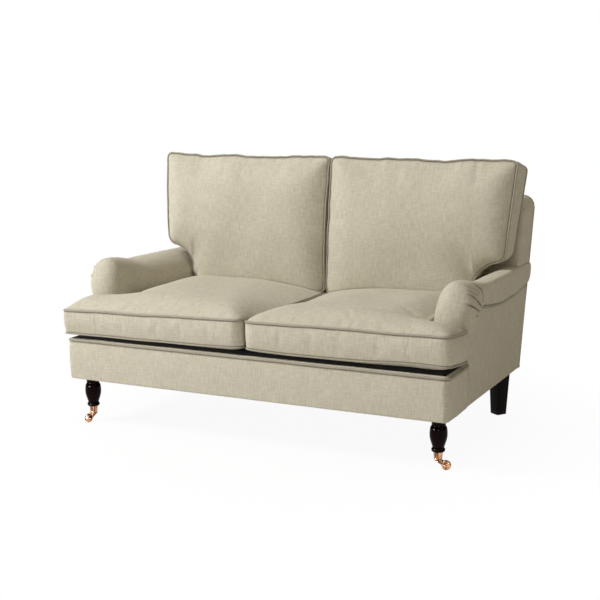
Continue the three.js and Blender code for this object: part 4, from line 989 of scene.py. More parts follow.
def seat_outline(ear_rear):
    """Corners of a seat cushion's seam, from the inner front one round its ear."""
    return [(CUSHION_INNER, SEAT_FRONT), (SEAT_OUTER, SEAT_FRONT), (SEAT_OUTER, ear_rear), (NECK, ear_rear),
            (NECK, SEAT_REAR), (CUSHION_INNER, SEAT_REAR)]


def seat_crown(u, v, outline):
    """Height of a seat cushion's crown over its upper seam: it rises from the seams within its reach,
    and towards the rear it falls again beside the middle of the sofa, where the weight sat most."""
    inner, front = outline[0]
    worn = 0.62 * np.exp(-((u - inner) / (150 * MM)) ** 2) * ease((v - front - 60 * MM) / (450 * MM))
    return SEAT_CROWN * rise(soft_distance(u, v, outline), SEAT_REACH, SEAT_POWER) * (1 - worn)


def seat_cushion(side, direction, seed):
    """A boxed seat cushion with an ear in front of its arm, crowned, its sides drawn in between the
    corners. The ear's rear side wraps round the swelling front of the arm. u runs outwards from the
    middle of the sofa and v to the back."""
    inner, outer, front, rear = CUSHION_INNER, SEAT_OUTER, SEAT_FRONT, SEAT_REAR
    ear_rear = FACING_FRONT - FRONT_DOME - 1 * MM
    bottom, top = DECK_TOP + 17 * MM, SEAT_SEAM
    columns = lines_by_way_of(inner, NECK, outer)
    rows = lines_by_way_of(front, ear_rear, rear)
    i_neck, j_ear = nearest_line(columns, NECK), nearest_line(rows, ear_rear)
    last_i, last_j = len(columns) - 1, len(rows) - 1
    kept = np.ones((last_i, last_j), bool)
    kept[i_neck:, j_ear:] = False
    corners = [(0, 0), (last_i, 0), (last_i, j_ear), (i_neck, j_ear), (i_neck, last_j), (0, last_j)]
    outline = seat_outline(ear_rear)
    ear_radius = 30 * MM if direction > 0 else 16 * MM
    rounded = [((inner, front), (1, 1), 36 * MM), ((outer, front), (-1, 1), ear_radius),
               ((NECK, rear), (-1, -1), 26 * MM), ((inner, rear), (1, -1), 26 * MM)]

    def plan(u, v):
        """Where a place of the panel lies: corners rounded and sides drawn in. Towards the arm's front
        the cushion reaches back as far as that front has receded."""
        x, y = round_corners(u, v, rounded)
        inner_draw = 5 * MM * bow((v - front) / (rear - front)) * (1 - ease((u - inner) / (300 * MM)))
        front_draw = 6 * MM * bow((u - inner) / (outer - inner)) * (1 - ease((v - front) / (200 * MM)))
        across = np.clip(abs(u - CAP_MIDDLE) / (ROLL_OUTER_FRONT - CAP_MIDDLE), 0, 1)
        receded = CAP_SWELL * (1 - (1 - across ** FRONT_POWER) ** (1 / FRONT_POWER))
        receded = receded * ease((u - NECK + 140 * MM) / (140 * MM))
        before_arm = np.clip((v - front) / (ear_rear - front), 0, 1) ** 2
        beside_arm = np.clip((rear - v) / (rear - ear_rear), 0, 1)
        return x + inner_draw, y + front_draw + receded * np.where(v < ear_rear, before_arm, beside_arm)

    def place(u, v, level):
        x, y = plan(u, v)
        distance = edge_distance(u, v, outline)
        crown = seat_crown(u, v, outline)
        crown_share = crown / SEAT_CROWN
        lifts = smooth_line(list(zip(SEAT_LIFT_SHARES, SEAT_LIFTS[side][0 if level > 0 else 1])))
        lift = np.interp((u - inner) / (outer - inner), *lifts.T) * MM
        wander = 1.2 * MM * waves(u + 0.4 * v, 420 * MM, seed) + lift * (1 - ease((v - front) / (160 * MM)))
        if level < 0:
            y = y + LOWER_SEAM_INSET * np.exp(-(v - front) / (50 * MM))
        pucker_u = np.exp(-np.minimum(v - front, rear - v) / (20 * MM)) * waves(u, 50 * MM, seed + 1)
        pucker_v = np.exp(-np.minimum(u - inner, outer - u) / (20 * MM)) * waves(v, 50 * MM, seed + 2)
        uneven = 1.1 * MM * (pucker_u + pucker_v) * ease(distance / (6 * MM))
        uneven = uneven + 2.2 * MM * swells(u, v, 260 * MM, seed + 3) * ease(distance / (100 * MM))
        # the cover is pulled up round the corner of the arm, and lies higher beside the arm's middle
        pull = 8 * MM * np.exp(-(np.hypot(u - NECK, v - ear_rear) / (100 * MM)) ** 2)
        along_arm = np.clip((v - ear_rear) / (rear - ear_rear), 0, 1)
        beside_arm = np.exp(-((u - NECK) / (160 * MM)) ** 2) * (v > ear_rear)
        pull = pull + 13 * MM * np.sin(np.pi * along_arm ** 0.7) * beside_arm
        if level > 0:
            z = top + wander * (1 - 0.7 * crown_share) + crown + uneven + pull + shoulder(distance)
        else:
            z = bottom + wander * (1 - crown_share) - (bottom - DECK_TOP - 1.2 * MM) * crown_share
            z = z - shoulder(distance) * (1 - crown_share)
        return np.stack([x * direction, y, z], -1)

    def wall(first, second, share, along):
        base = straight_wall(first, second, share, along)
        edge = first[0]
        deep = np.minimum(share, 1 - share) * (top - bottom)
        bulge = BOXING_BULGE + 1.0 * MM * waves(along, 50 * MM, seed + 5)
        # less where the boxing lies against the arm, the back or the other cushion
        room = np.where(edge[:, 1] > ear_rear + 15 * MM, 0.15, 1.0)
        room = room * np.where(abs(edge[:, 0]) < 30 * MM, 0.6, 1.0)
        swell = (bulge * np.sin(np.pi * share) + shoulder(deep)) * room
        base[..., :2] += seam_outward(edge[:, :2])[None] * swell[..., None]
        return base

    def free(points):
        """The filling moves the cover's top and boxing, but not where it touches its neighbours."""
        x, y, z = abs(points[:, 0]), points[:, 1], points[:, 2]
        under_back = ease((BACK_FOOT_FRONT - 70 * MM - y) / (60 * MM))
        beside_arm = np.where(x > NECK - 12 * MM, ease((ear_rear - 4 * MM - y) / (20 * MM)), 1)
        return ease((z - bottom) / (50 * MM)) * under_back * beside_arm * ease((x - 4 * MM) / (12 * MM))

    piece, upper, lower = boxed_pad(f"seat_cushion_{side}_cover", columns, rows, kept, corners, place, wall,
                                    WALL_SHARES, linen, body=f"seat_{side}")
    inflate(piece, free)
    subdivide(piece)
    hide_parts(f"seat_cushion_{side}")
    for seam, name, up in ((upper, "upper", 1), (lower, "lower", -1)):
        out = seam_outward(seam[:, :2])
        against_arm = (seam[:, 1] > ear_rear + 15 * MM) & (abs(seam[:, 0]) > 30 * MM)
        out *= np.where(against_arm, 0.1, 1.0)[:, None]
        way = np.concatenate([out, np.full((len(seam), 1), up)], 1)
        path = seam + PIPING_OUT * math.sqrt(0.5) * way
        tube(f"seat_cushion_{side}_{name}_piping", path, PIPING, piping_linen_painted_shade, (0, 0, 1),
             body=f"seat_{side}")


def back_cushion(side, direction, seed):
    """A boxed back cushion with an ear above its arm. u runs outwards from the middle of the sofa
    and v up from its foot, which stands on the crown of the seat."""
    inner, outer = CUSHION_INNER, 737 * MM
    height = 518 * MM
    top_mid = SEAT_SEAM + height
    flare = 35 * MM  # of the outer side, from its foot to its top
    notch = 107 * MM  # from the foot up to the ear
    front_lean = 48 * MM
    boxing_foot, boxing_top = 89 * MM, 128 * MM
    columns = lines_by_way_of(inner, NECK, outer)
    rows = lines_by_way_of(0.0, notch, height)
    i_neck, j_notch = nearest_line(columns, NECK), nearest_line(rows, notch)
    last_i, last_j = len(columns) - 1, len(rows) - 1
    kept = np.ones((last_i, last_j), bool)
    kept[i_neck:, :j_notch] = False
    corners = [(0, 0), (i_neck, 0), (i_neck, j_notch), (last_i, j_notch), (last_i, last_j), (0, last_j)]
    outline = [(inner, 0.0), (NECK, 0.0), (NECK, notch), (outer, notch), (outer, height), (inner, height)]
    # towards the foot, which leans on the seat, the face stays full
    full = -55 * MM
    crown_outline = [(inner, full), (NECK, full), *outline[2:]]
    seat = seat_outline(ARM_FRONT - 4 * MM)
    rounded = [((outer, notch), (-1, 1), 42 * MM), ((outer, height), (-1, -1), 24 * MM),
               ((inner, height), (1, -1), 22 * MM), ((NECK, 0.0), (-1, 1), 55 * MM),
               ((inner, 0.0), (1, 1), 20 * MM)]

    def foot(x):
        """Height of the seat's crown under the cushion's front seam, with a narrow gap."""
        return SEAT_SEAM + seat_crown(np.minimum(x, NECK), BACK_FOOT_FRONT + 0 * x, seat) + 3.5 * MM

    def place(u, v, level):
        x, w = round_corners(u, v, rounded)
        x, w = round_concave(x, w, (NECK, notch), (1, -1), 30 * MM)
        share = w / height
        distance = edge_distance(u, v, outline)
        crown_share = rise(soft_distance(u, v, crown_outline), BACK_REACH, BACK_POWER)
        bow_u, bow_v = bow((u - inner) / (outer - inner)), bow(v / height)
        ear_share = np.clip((x - NECK) / (outer - NECK), 0, 1)
        inner_draw = (5 if direction < 0 else 2) * MM * bow_v
        inner_draw = inner_draw + 1.6 * MM * waves(v, 160 * MM, seed + 9) * ease(bow_v / 0.3)
        x = x + inner_draw * (1 - ease((u - inner) / (300 * MM))) - flare * (1 - share) * ear_share
        run = np.clip((x - NECK) / (90 * MM), 0, 1)
        below = foot(x)
        notch_z = below + notch + 52 * MM * np.sin(run * np.pi / 2)
        wave = 5 * MM * waves(u + 30 * MM * level, 340 * MM, seed)
        wave = wave + 1.6 * MM * waves(u, 90 * MM, seed + 7 + level)
        top = top_mid + 13 * MM * level - 7 * MM * bow_u + wave
        z = np.where(w < notch, below + (notch_z - below) * w / notch,
                     notch_z + (top - notch_z) * (w - notch) / (height - notch))
        if level > 0:
            pucker_u = np.exp(-(height - v) / (30 * MM)) * waves(u, 70 * MM, seed + 1)
            pucker_v = np.exp(-np.minimum(u - inner, outer - u) / (25 * MM)) * waves(v, 70 * MM, seed + 2)
            uneven = 1.4 * MM * (pucker_u + pucker_v) * ease(distance / (6 * MM))
            uneven = uneven + 3.0 * MM * swells(u, v, 300 * MM, seed + 3) * ease(distance / (100 * MM))
            seam_y = BACK_FOOT_FRONT + front_lean * share ** 2
            seam_y = seam_y + 2 * MM * waves(v, 300 * MM, seed + 4) * (1 - crown_share)
            y = seam_y - BACK_CROWN * crown_share - uneven - shoulder(distance)
        else:
            y = BACK_FOOT_FRONT + front_lean * share + boxing_foot + (boxing_top - boxing_foot) * share
            y = np.minimum(y + 22 * MM * crown_share, rear_face(z) - BACK_THICKNESS - 1.5 * MM)
        return np.stack([x * direction, y, z], -1)

    def wall(first, second, share, along):
        base = straight_wall(first, second, share, along)
        edge = first[0]
        deep = np.minimum(share, 1 - share) * boxing_foot
        bulge = BOXING_BULGE + 1.2 * MM * waves(along, 70 * MM, seed + 5)
        # less where the boxing lies on the seat or against the other cushion
        room = np.where(edge[:, 2] < SEAT_SEAM + 100 * MM, 0.1, 1.0)
        room = room * np.where(abs(edge[:, 0]) < 30 * MM, 0.6, 1.0)
        swell = (bulge * np.sin(np.pi * share) + shoulder(deep)) * room
        base[..., ::2] += seam_outward(edge[:, ::2])[None] * swell[..., None]
        return base

    def free(points):
        """The filling moves the cover's front and boxing, but not where it touches its neighbours."""
        x, y, z = abs(points[:, 0]), points[:, 1], points[:, 2]
        behind = BACK_FOOT_FRONT + front_lean * np.clip((z - SEAT_SEAM) / height, 0, 1) + 0.6 * boxing_foot
        over_seat = z - foot(x)
        settled = ease((over_seat - 6 * MM) / (45 * MM)) * (0.3 + 0.7 * ease(over_seat / (220 * MM)))
        above_arm = ease((z - ROLL_TOP_FRONT) / (60 * MM))
        room = np.where(x > NECK - 10 * MM, above_arm, settled)
        return ease((behind - y) / (40 * MM)) * room * ease((x - 4 * MM) / (12 * MM))

    piece, upper, lower = boxed_pad(f"back_cushion_{side}_cover", columns, rows, kept, corners, place, wall,
                                    WALL_SHARES, linen, body=f"back_{side}")
    inflate(piece, free)
    subdivide(piece)
    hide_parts(f"back_cushion_{side}")
    for seam, name, ahead in ((upper, "front", -1), (lower, "rear", 1)):
        out = seam_outward(seam[:, ::2])
        on_seat = (seam[:, 2] < SEAT_SEAM + 100 * MM) & (abs(seam[:, 0]) > 30 * MM)
        out *= np.where(on_seat, 0.1, 1.0)[:, None]
        way = np.stack([out[:, 0], np.full(len(seam), ahead), out[:, 1]], -1)
        path = seam + PIPING_OUT * math.sqrt(0.5) * way
        tube(f"back_cushion_{side}_{name}_piping", path, PIPING, piping_linen_painted_shade, (0, -1, 0),
             body=f"back_{side}")


seat_cushion("left", -1, seed=31)
seat_cushion("right", 1, seed=41)
back_cushion("left", -1, seed=51)
back_cushion("right", 1, seed=61)


# Back

def merged_lines(*groups):
    """Grid lines of several groups in order, without doubles."""
    return np.unique(np.round(np.concatenate(groups), 6))


def rounded_edge(inside, radius):
    """Height of a quarter round over its start, at a distance inside the edge."""
    away = np.clip(inside, 0, radius)
    return np.sqrt(np.maximum(radius ** 2 - (radius - away) ** 2, 0))


def back_pad():
    """The upholstered back: the inside back and its border as one padded form, with a wide part above
    the arms and a narrow one between them. u runs across and v up; the front edge is a quarter round."""
    edge = 20 * MM  # radius of the front edge
    narrow, wide = ARM_INNER - 0.5 * MM, HALF_WIDTH
    foot, shoulder_height, top = DECK_TOP + 0.5 * MM, ROLL_TOP + 0.4 * MM, BACK_TOP
    rear_gap = 12.5 * MM
    step = 18 * MM
    near = edge * np.array([0, 0.03, 0.1, 0.2, 0.34, 0.5, 0.7, 1])

    def lines(a, b):
        """Grid lines from a to b, close together where the edge turns."""
        inner_lines = np.linspace(a + edge, b - edge, max(3, int((b - a) / step)))
        return np.concatenate([a + near, inner_lines[1:-1], (b - near)[::-1]])

    columns = merged_lines(lines(-wide, wide), [-narrow, narrow])
    rows = merged_lines(np.linspace(foot, shoulder_height, 14), shoulder_height + near,
                        lines(shoulder_height, top))
    i0, i1 = nearest_line(columns, -narrow), nearest_line(columns, narrow)
    j = nearest_line(rows, shoulder_height)
    last_i, last_j = len(columns) - 1, len(rows) - 1
    kept = np.ones((last_i, last_j), bool)
    kept[:i0, :j] = False
    kept[i1:, :j] = False
    corners = [(i0, 0), (i1, 0), (i1, j), (last_i, j), (last_i, last_j), (0, last_j), (0, j), (i0, j)]
    rounded = [((wide, top), (-1, -1), 50 * MM), ((-wide, top), (1, -1), 50 * MM)]

    def place(u, v, level):
        # only the sides and the top of the wide part are rounded
        inside = np.minimum(wide - abs(u), top - v)
        x, z = round_corners(u, v, rounded)
        depth = rear_gap + 0 * u
        if level > 0:
            depth = BACK_THICKNESS - edge + rounded_edge(inside, edge)
            depth = depth - 1.5 * MM * swells(u, v, 300 * MM, 71) * ease(inside / (50 * MM))
            z = z - 20 * MM * ease((z - top + 50 * MM) / (30 * MM))
        return np.stack([x, rear_face(z) - depth, z], -1)

    piece, _, _ = boxed_pad("back_cover", columns, rows, kept, corners, place, straight_wall,
                            np.linspace(0, 1, 11), linen, seam_shade=False)
    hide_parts("back_border", "inside_back")


def outside_back():
    """The panel over the rear of the frame, slightly pillowed inside its piping."""
    half, foot, top = HALF_WIDTH - 3 * MM, LEG_HEIGHT + 2 * MM, BACK_TOP - 2 * MM
    edge = 5 * MM
    near = edge * np.array([0, 0.12, 0.4, 1])
    middle_columns = np.linspace(-half + edge, half - edge, 70)[1:-1]
    columns = np.concatenate([-half + near, middle_columns, (half - near)[::-1]])
    middle_rows = np.linspace(foot + edge, top - edge, 34)[1:-1]
    rows = np.concatenate([foot + near, middle_rows, (top - near)[::-1]])
    kept, corners = whole_panel(columns, rows)
    rounded = [((half, top), (-1, -1), 47 * MM), ((-half, top), (1, -1), 47 * MM)]

    def place(u, v, level):
        inside = np.minimum(np.minimum(half - abs(u), top - v), v - foot)
        x, z = round_corners(u, v, rounded)
        depth = -11 * MM + 0 * u
        if level > 0:
            depth = -edge + 3 * MM * rise(inside, 250 * MM) + rounded_edge(inside, edge)
            depth = depth + 0.8 * MM * swells(u, v, 300 * MM, 81) * ease(inside / (50 * MM))
        return np.stack([x, rear_face(z) + depth, z], -1)

    piece, seam, _ = boxed_pad("outside_back_panel", columns, rows, kept, corners, place, straight_wall,
                               np.linspace(0, 1, 4), linen)
    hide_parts("outside_back")
    # the piping leaves out the foot, so it starts after the widest step between two points
    path = seam[seam[:, 2] > foot + 1 * MM]
    start = int(np.argmax(np.linalg.norm(np.roll(path, 1, 0) - path, axis=1)))
    path = np.roll(path, -start, 0) + np.array([0, 1.0 * MM, 0])
    # the rear piping's colour is painted darker, as painted shade
    tube("outside_back_piping", path, PIPING, rear_piping_linen_painted_shade, (0, 1, 0), closed=False)


back_pad()
outside_back()


def seat_deck_cloth():
    """The platform under the cushions in its black cloth, wide in front of the arms and narrow between
    them. Its upper face is slightly uneven."""
    low, high = corners_of("seat_deck")
    neck = ARM_INNER - 0.5 * MM
    split = ARM_FRONT - 0.5 * MM
    step = 22 * MM
    across, along = (int((high[axis] - low[axis]) / step) for axis in (0, 1))
    columns = merged_lines(np.linspace(low[0] + 1 * MM, high[0] - 1 * MM, across), [-neck, neck])
    rows = merged_lines(np.linspace(low[1] + 1 * MM, high[1] - 4 * MM, along), [split])
    i0, i1 = nearest_line(columns, -neck), nearest_line(columns, neck)
    j = nearest_line(rows, split)
    last_i, last_j = len(columns) - 1, len(rows) - 1
    kept = np.ones((last_i, last_j), bool)
    kept[:i0, j:] = False
    kept[i1:, j:] = False
    corners = [(0, 0), (last_i, 0), (last_i, j), (i1, j), (i1, last_j), (i0, last_j), (i0, j), (0, j)]

    def place(u, v, level):
        z = high[2] - 0.6 * MM * swells(u, v, 250 * MM, 91) if level > 0 else low[2] + 0 * u
        return np.stack([u, v, z], -1)

    piece, _, _ = boxed_pad("seat_deck_cloth", columns, rows, kept, corners, place, straight_wall,
                            np.linspace(0, 1, 4), platform_cloth_painted_shade, seam_shade=False, slot="lining")
    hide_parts("seat_deck")


seat_deck_cloth()


def dust_sheet():
    """The dust cloth under the base: a thin sheet that sags a little between its staples."""
    low, high = corners_of("dust_cover")
    columns = np.linspace(low[0] + 1 * MM, high[0] - 1 * MM, 90)
    rows = np.linspace(low[1] + 1 * MM, rear_face(LEG_HEIGHT) - 14 * MM, 56)
    kept, corners = whole_panel(columns, rows)
    thickness = 0.5 * MM
    rounded = [((columns[0], rows[0]), (1, 1), 9 * MM), ((columns[-1], rows[0]), (-1, 1), 9 * MM)]

    def place(u, v, level):
        x, y = round_corners(u, v, rounded)
        inside_u = np.minimum(u - columns[0], columns[-1] - u)
        inside = np.minimum(inside_u, np.minimum(v - rows[0], rows[-1] - v))
        pucker = 0.5 * MM * waves(u, 70 * MM, 95) * np.exp(-inside / (30 * MM)) * ease(inside / (10 * MM))
        sag = 1.2 * MM * rise(inside, 200 * MM) + pucker
        return np.stack([x, y, low[2] + 1.4 * MM - sag - thickness * (level < 0)], -1)

    piece, _, _ = boxed_pad("dust_cloth_panel", columns, rows, kept, corners, place, straight_wall, [0, 1],
                            dust_cloth, seam_shade=False, slot="dust_cloth")
    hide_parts("dust_cover")


dust_sheet()


# Legs and casters

def turned_piece(name, profile, centre, material, slot, node, body="frame", axis=(0, 0, 1), segments=72):
    """A profile of (radius, distance along the axis) points turned about an axis through the centre.
    Both ends of the profile lie on the axis or meet each other."""
    axis = np.asarray(axis, float)
    first = np.cross(axis, (0, 0, 1) if abs(axis[2]) < 0.9 else (1, 0, 0))
    first /= np.linalg.norm(first)
    second = np.cross(axis, first)
    turn = np.arange(segments) * 2 * np.pi / segments
    circle = np.cos(turn)[:, None] * first + np.sin(turn)[:, None] * second
    profile = np.asarray(profile, float)
    rings = np.asarray(centre, float) + profile[:, None, :1] * circle[None] + profile[:, None, 1:] * axis
    closed = np.allclose(profile[0], profile[-1])
    piece = loft(name, rings, material, cap_ends=not closed, slot=slot, body=body)
    if closed:
        weld(piece)
    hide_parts(node)


def soft_profile(points, radius, steps=3):
    """A profile with its corners rounded: each inner corner becomes a quadratic curve that starts and
    ends at most the radius away."""
    points = np.asarray(points, float)
    result = [points[0]]
    for before, corner, after in zip(points, points[1:], points[2:]):
        ends = []
        for other in (before, after):
            way = other - corner
            length = np.linalg.norm(way)
            ends.append(corner + way / max(length, 1e-12) * min(radius, length * 0.45))
        first, last = ends
        for share in np.linspace(0, 1, steps + 1):
            result.append(first * (1 - share) ** 2 + corner * 2 * share * (1 - share) + last * share ** 2)
    result.append(points[-1])
    return np.array(result)


LEG_TOP = LEG_HEIGHT - 0.3 * MM
# Swell of a front leg's vase from its neck down: shares of its height and of its bulge
VASE_SHARES = [(1, 0), (0.94, 0.42), (0.86, 0.78), (0.7, 0.98), (0.57, 1), (0.44, 0.9), (0.3, 0.64),
               (0.14, 0.28), (0, 0)]


def front_leg(side):
    """A turned leg: a round top, a cove, a vase that swells to its bulge and tapers to the ankle, and a
    bead above the caster's cup. Returns the leg's centre."""
    low, high = corners_of(f"leg_front_{side}")
    centre = (low + high) / 2
    neck, bulge, ankle = 23 * MM, 29.5 * MM, 19 * MM
    bead, bead_half, bead_height = 23 * MM, 8 * MM, 66.3 * MM
    vase_height = 74 * MM
    ankle_height = bead_height + bead_half
    neck_height = ankle_height + vase_height
    land, land_foot = 28 * MM, LEG_TOP - 12 * MM
    land_edge = 26.6 * MM
    stem = 10 * MM
    top = [(0, LEG_TOP), (land - 1 * MM, LEG_TOP), (land, LEG_TOP - 1.5 * MM), (land, LEG_TOP - 10 * MM),
           (land_edge, land_foot)]
    turn = np.linspace(0, np.pi / 2, 8)[1:]
    cove = np.stack([neck + (land_edge - neck) * (1 - np.sin(turn)),
                     land_foot - (land_foot - neck_height) * (1 - np.cos(turn))], -1)
    vase = []
    for up, out in VASE_SHARES:
        straight = ankle + (neck - ankle) * up
        vase.append((straight + (bulge - straight) * out, ankle_height + vase_height * up))
    turn = np.linspace(np.pi / 2, -np.pi / 2, 13)
    bead_curve = np.stack([bead - bead_half + bead_half * np.cos(turn),
                           bead_height + bead_half * np.sin(turn)], -1)
    foot = [(stem, bead_height - bead_half), (stem, low[2]), (0, low[2])]
    profile = np.concatenate([top, cove, smooth_line(vase)[1:], bead_curve, foot])
    turned_piece(f"front_leg_{side}", profile, (centre[0], centre[1], 0), dark_wood, "dark_wood",
                 node=f"leg_front_{side}")
    return centre


def rear_leg(side, direction):
    """A square tapered leg with eased edges: rings that are squares with round corners, and whose ends
    are chamfered."""
    low, high = corners_of(f"leg_rear_{side}")
    centre = (low + high) / 2
    turn_by = -direction * math.radians(35)
    foot_width, top_width = 43 * MM, 58 * MM
    corner = 3 * MM
    long_part = np.linspace(2 * MM, LEG_TOP - 1.5 * MM, 8)
    heights = np.concatenate([[0, 0.6 * MM], long_part, [LEG_TOP]])
    chamfers = np.concatenate([[2.2 * MM, 1.0 * MM], np.zeros(8), [1.0 * MM]])
    reaches = (foot_width + (top_width - foot_width) * heights / LEG_TOP) / 2 - chamfers
    turn = np.linspace(0, np.pi / 2, 6)
    rings = []
    for height, reach in zip(heights, reaches):
        rounded = reach - corner + corner * np.stack([np.cos(turn), np.sin(turn)], -1)
        ring = []
        for angle in np.arange(4) * np.pi / 2 + turn_by:
            cos, sin = np.cos(angle), np.sin(angle)
            ring.append(rounded @ np.array([[cos, sin], [-sin, cos]]))
        ring = np.concatenate(ring)
        rings.append(np.concatenate([ring + centre[:2], np.full((len(ring), 1), height)], 1))
    piece = loft(f"rear_leg_{side}", np.stack(rings), dark_wood, slot="dark_wood")
    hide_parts(f"leg_rear_{side}")
    edge = piece.modifiers.new("edges", "EDGE_SPLIT")
    edge.split_angle = math.radians(50)


# Sections of the caster's turned parts in mm: the radius and the height above the floor, and for the
# wheel the radius and the distance from its middle
CUP_SECTION = [(3.3, 34), (13.2, 34), (14.2, 36), (13.6, 38), (15.5, 58), (16.2, 60), (15.8, 61.5),
               (10.4, 61.5), (10.4, 38), (3.3, 38), (3.3, 34)]
PIN_SECTION = [(0, 41.3), (5.5, 41.3), (5.5, 38.3), (3, 38.3), (3, 33.7), (8, 33.7), (8.6, 31.5), (8, 29.0),
               (0, 29.0)]
WHEEL_SECTION = [(2.8, -8), (6, -8), (6.4, -7.2), (8, -6.5), (12.6, -6.5), (14.6, -6.3), (15.9, -4.4),
                 (16.5, -2.0), (16.5, 2.0), (15.9, 4.4), (14.6, 6.3), (12.6, 6.5), (8, 6.5), (6.4, 7.2),
                 (6, 8), (2.8, 8), (2.8, -8)]
# Where the fork's arm joins the disc under the pin: distance towards the wheel and height, in mm
FORK_ROOT = [(8, 31.7), (-2, 33.0), (-8, 31.7)]
FORK_INNER, FORK_THICKNESS = 8.6 * MM, 2.5 * MM
FORK_WIDTH = FORK_INNER + FORK_THICKNESS  # from the middle to the outer face of an arm
FORK_EYE = 6 * MM  # radius of the arm's end round the axle
# Layers of an arm: the share of its thickness and how far its edge is rounded in there
FORK_LAYERS = ((0.0, 0.5 * MM), (0.15, 0.1 * MM), (0.3, 0.0), (0.7, 0.0), (0.85, 0.1 * MM), (1.0, 0.5 * MM))
AXLE_RADIUS, AXLE_HEAD = 2.5 * MM, 4.5 * MM
UP = np.array([0, 0, 1])


def fork_arm(name, outline, sign, pivot, ahead, axis, body):
    """One side of a caster's fork: a plate along the trail, from an outline of (distance, height)
    points, with its edges rounded."""
    middle = outline.mean(0)
    away = outline - middle
    length = np.linalg.norm(away, axis=1, keepdims=True)
    layers = []
    for depth, inset in FORK_LAYERS:
        flat = middle + away * (1 - inset / length)
        offset = sign * (FORK_INNER + FORK_THICKNESS * depth)
        layers.append(pivot + flat[:, :1] * ahead + flat[:, 1:] * UP + offset * axis)
    loft(name, np.stack(layers), copper, body=body, slot="copper")


def fork_bridge(name, pivot, ahead, axis, body):
    """The saddle that joins the two arms under the pin: a rounded block that droops to its sides."""
    rings = []
    for share in np.linspace(-1, 1, 9):
        high_z = 33.4 * MM - 1.2 * MM * share ** 2
        low_z = 29.6 * MM - 0.6 * MM * share ** 2
        rear, front = -8 * MM, 5 * MM
        block = [(rear, low_z), (front, low_z), (front, high_z), (rear, high_z), (rear, low_z)]
        section = soft_profile(block, 1.2 * MM)[1:-1]
        rings.append(pivot + section[:, :1] * ahead + section[:, 1:] * UP + share * FORK_WIDTH * axis)
    loft(name, np.stack(rings), copper, body=body, slot="copper")


def axle_section():
    """The axle as (radius, distance from its middle): a rod with a domed head at each end."""
    start = FORK_WIDTH + 0.3 * MM
    head = [(AXLE_RADIUS, start), (AXLE_HEAD, start), (AXLE_HEAD, start + 0.4 * MM),
            (3.2 * MM, start + 1.2 * MM), (0, start + 1.2 * MM)]
    return np.array([(radius, -along) for radius, along in head[::-1]] + head)


def caster(side, leg_centre):
    """Cup, horn, axle and wheel of a caster. The wheel stands where its node stands."""
    low, high = corners_of(f"caster_wheel_{side}")
    wheel_centre = (low + high) / 2
    radius = wheel_centre[2]
    pivot = np.array([leg_centre[0], leg_centre[1], 0])
    trail = wheel_centre - pivot
    trail[2] = 0
    reach = np.linalg.norm(trail)
    ahead = trail / reach
    axis = np.array([-ahead[1], ahead[0], 0])
    swivel = f"swivel_{side}"
    cup = np.array(CUP_SECTION) * MM
    cup = np.concatenate([soft_profile(cup, 1.2 * MM), cup[:1]])
    turned_piece(f"cup_of_caster_{side}", cup, pivot, copper, "copper", node=f"caster_cup_{side}")
    pin = soft_profile(np.array(PIN_SECTION) * MM, 0.6 * MM)
    turned_piece(f"horn_pin_{side}", pin, pivot, copper, "copper", body=swivel, node=f"caster_horn_{side}")
    angles = np.radians(np.linspace(225, 432, 30))
    round_end = np.stack([reach + FORK_EYE * np.cos(angles), radius + FORK_EYE * np.sin(angles)], -1)
    outline = np.concatenate([round_end, np.array(FORK_ROOT) * MM])
    for which, sign in (("a", -1), ("b", 1)):
        fork_arm(f"horn_arm_{which}_{side}", outline, sign, pivot, ahead, axis, swivel)
    fork_bridge(f"horn_bridge_{side}", pivot, ahead, axis, swivel)
    turned_piece(f"axle_of_caster_{side}", axle_section(), wheel_centre, copper, "copper", body=swivel,
                 axis=axis, segments=36, node=f"caster_axle_{side}")
    turned_piece(f"wheel_of_caster_{side}", np.array(WHEEL_SECTION) * MM, wheel_centre, copper, "copper",
                 body=f"wheel_{side}", axis=axis, segments=64, node=f"caster_wheel_{side}")


for side, direction in (("left", -1), ("right", 1)):
    leg_centre = front_leg(side)
    rear_leg(side, direction)
    caster(side, leg_centre)


# Finish of the pieces that keep their solid, hidden inside the upholstery
INSIDE_FINISH = (("seat_spring", steel), ("leg_bolt", steel), ("back_web", webbing), ("", beech))
for node_name, node_object in frame["nodes"].items():
    if node_object.hide_render:
        continue
    finish = next(material for prefix, material in INSIDE_FINISH if node_name.startswith(prefix))
    node_object.data.materials.clear()
    node_object.data.materials.append(finish)

# Every new piece rides on its body
for piece in list(bpy.context.scene.objects):
    if piece.type == "MESH" and "body" in piece:
        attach(piece, piece["body"])
        del piece["body"]

scene = bpy.context.scene
scene.view_settings.view_transform = "Standard"

# Camera, as in a shop photograph: in front, to the right and above
camera_data = bpy.data.cameras.new("camera")
camera_data.lens = 69.11
camera_data.sensor_width = 36
camera_data.shift_x = 0.0032
camera_data.shift_y = 0.0049
camera = bpy.data.objects.new("camera", camera_data)
camera.location = (1.823, -3.8878, 1.1668)
camera.rotation_euler = (math.radians(80.274), 0, math.radians(25.565))
scene.collection.objects.link(camera)
scene.camera = camera


# Floor and light

WHITE = (1, 1, 1, 1)


def white_rays(tree):
    """1 for what the camera, polished metal or glass sees straight on, else 0."""
    seen = add_node(tree, "ShaderNodeLightPath").outputs
    either = add_node(tree, "ShaderNodeMath", {0: seen["Is Camera Ray"], 1: seen["Is Glossy Ray"]},
                      operation="MAXIMUM").outputs[0]
    return add_node(tree, "ShaderNodeMath", {0: either, 1: seen["Is Transmission Ray"]},
                    operation="MAXIMUM").outputs[0]


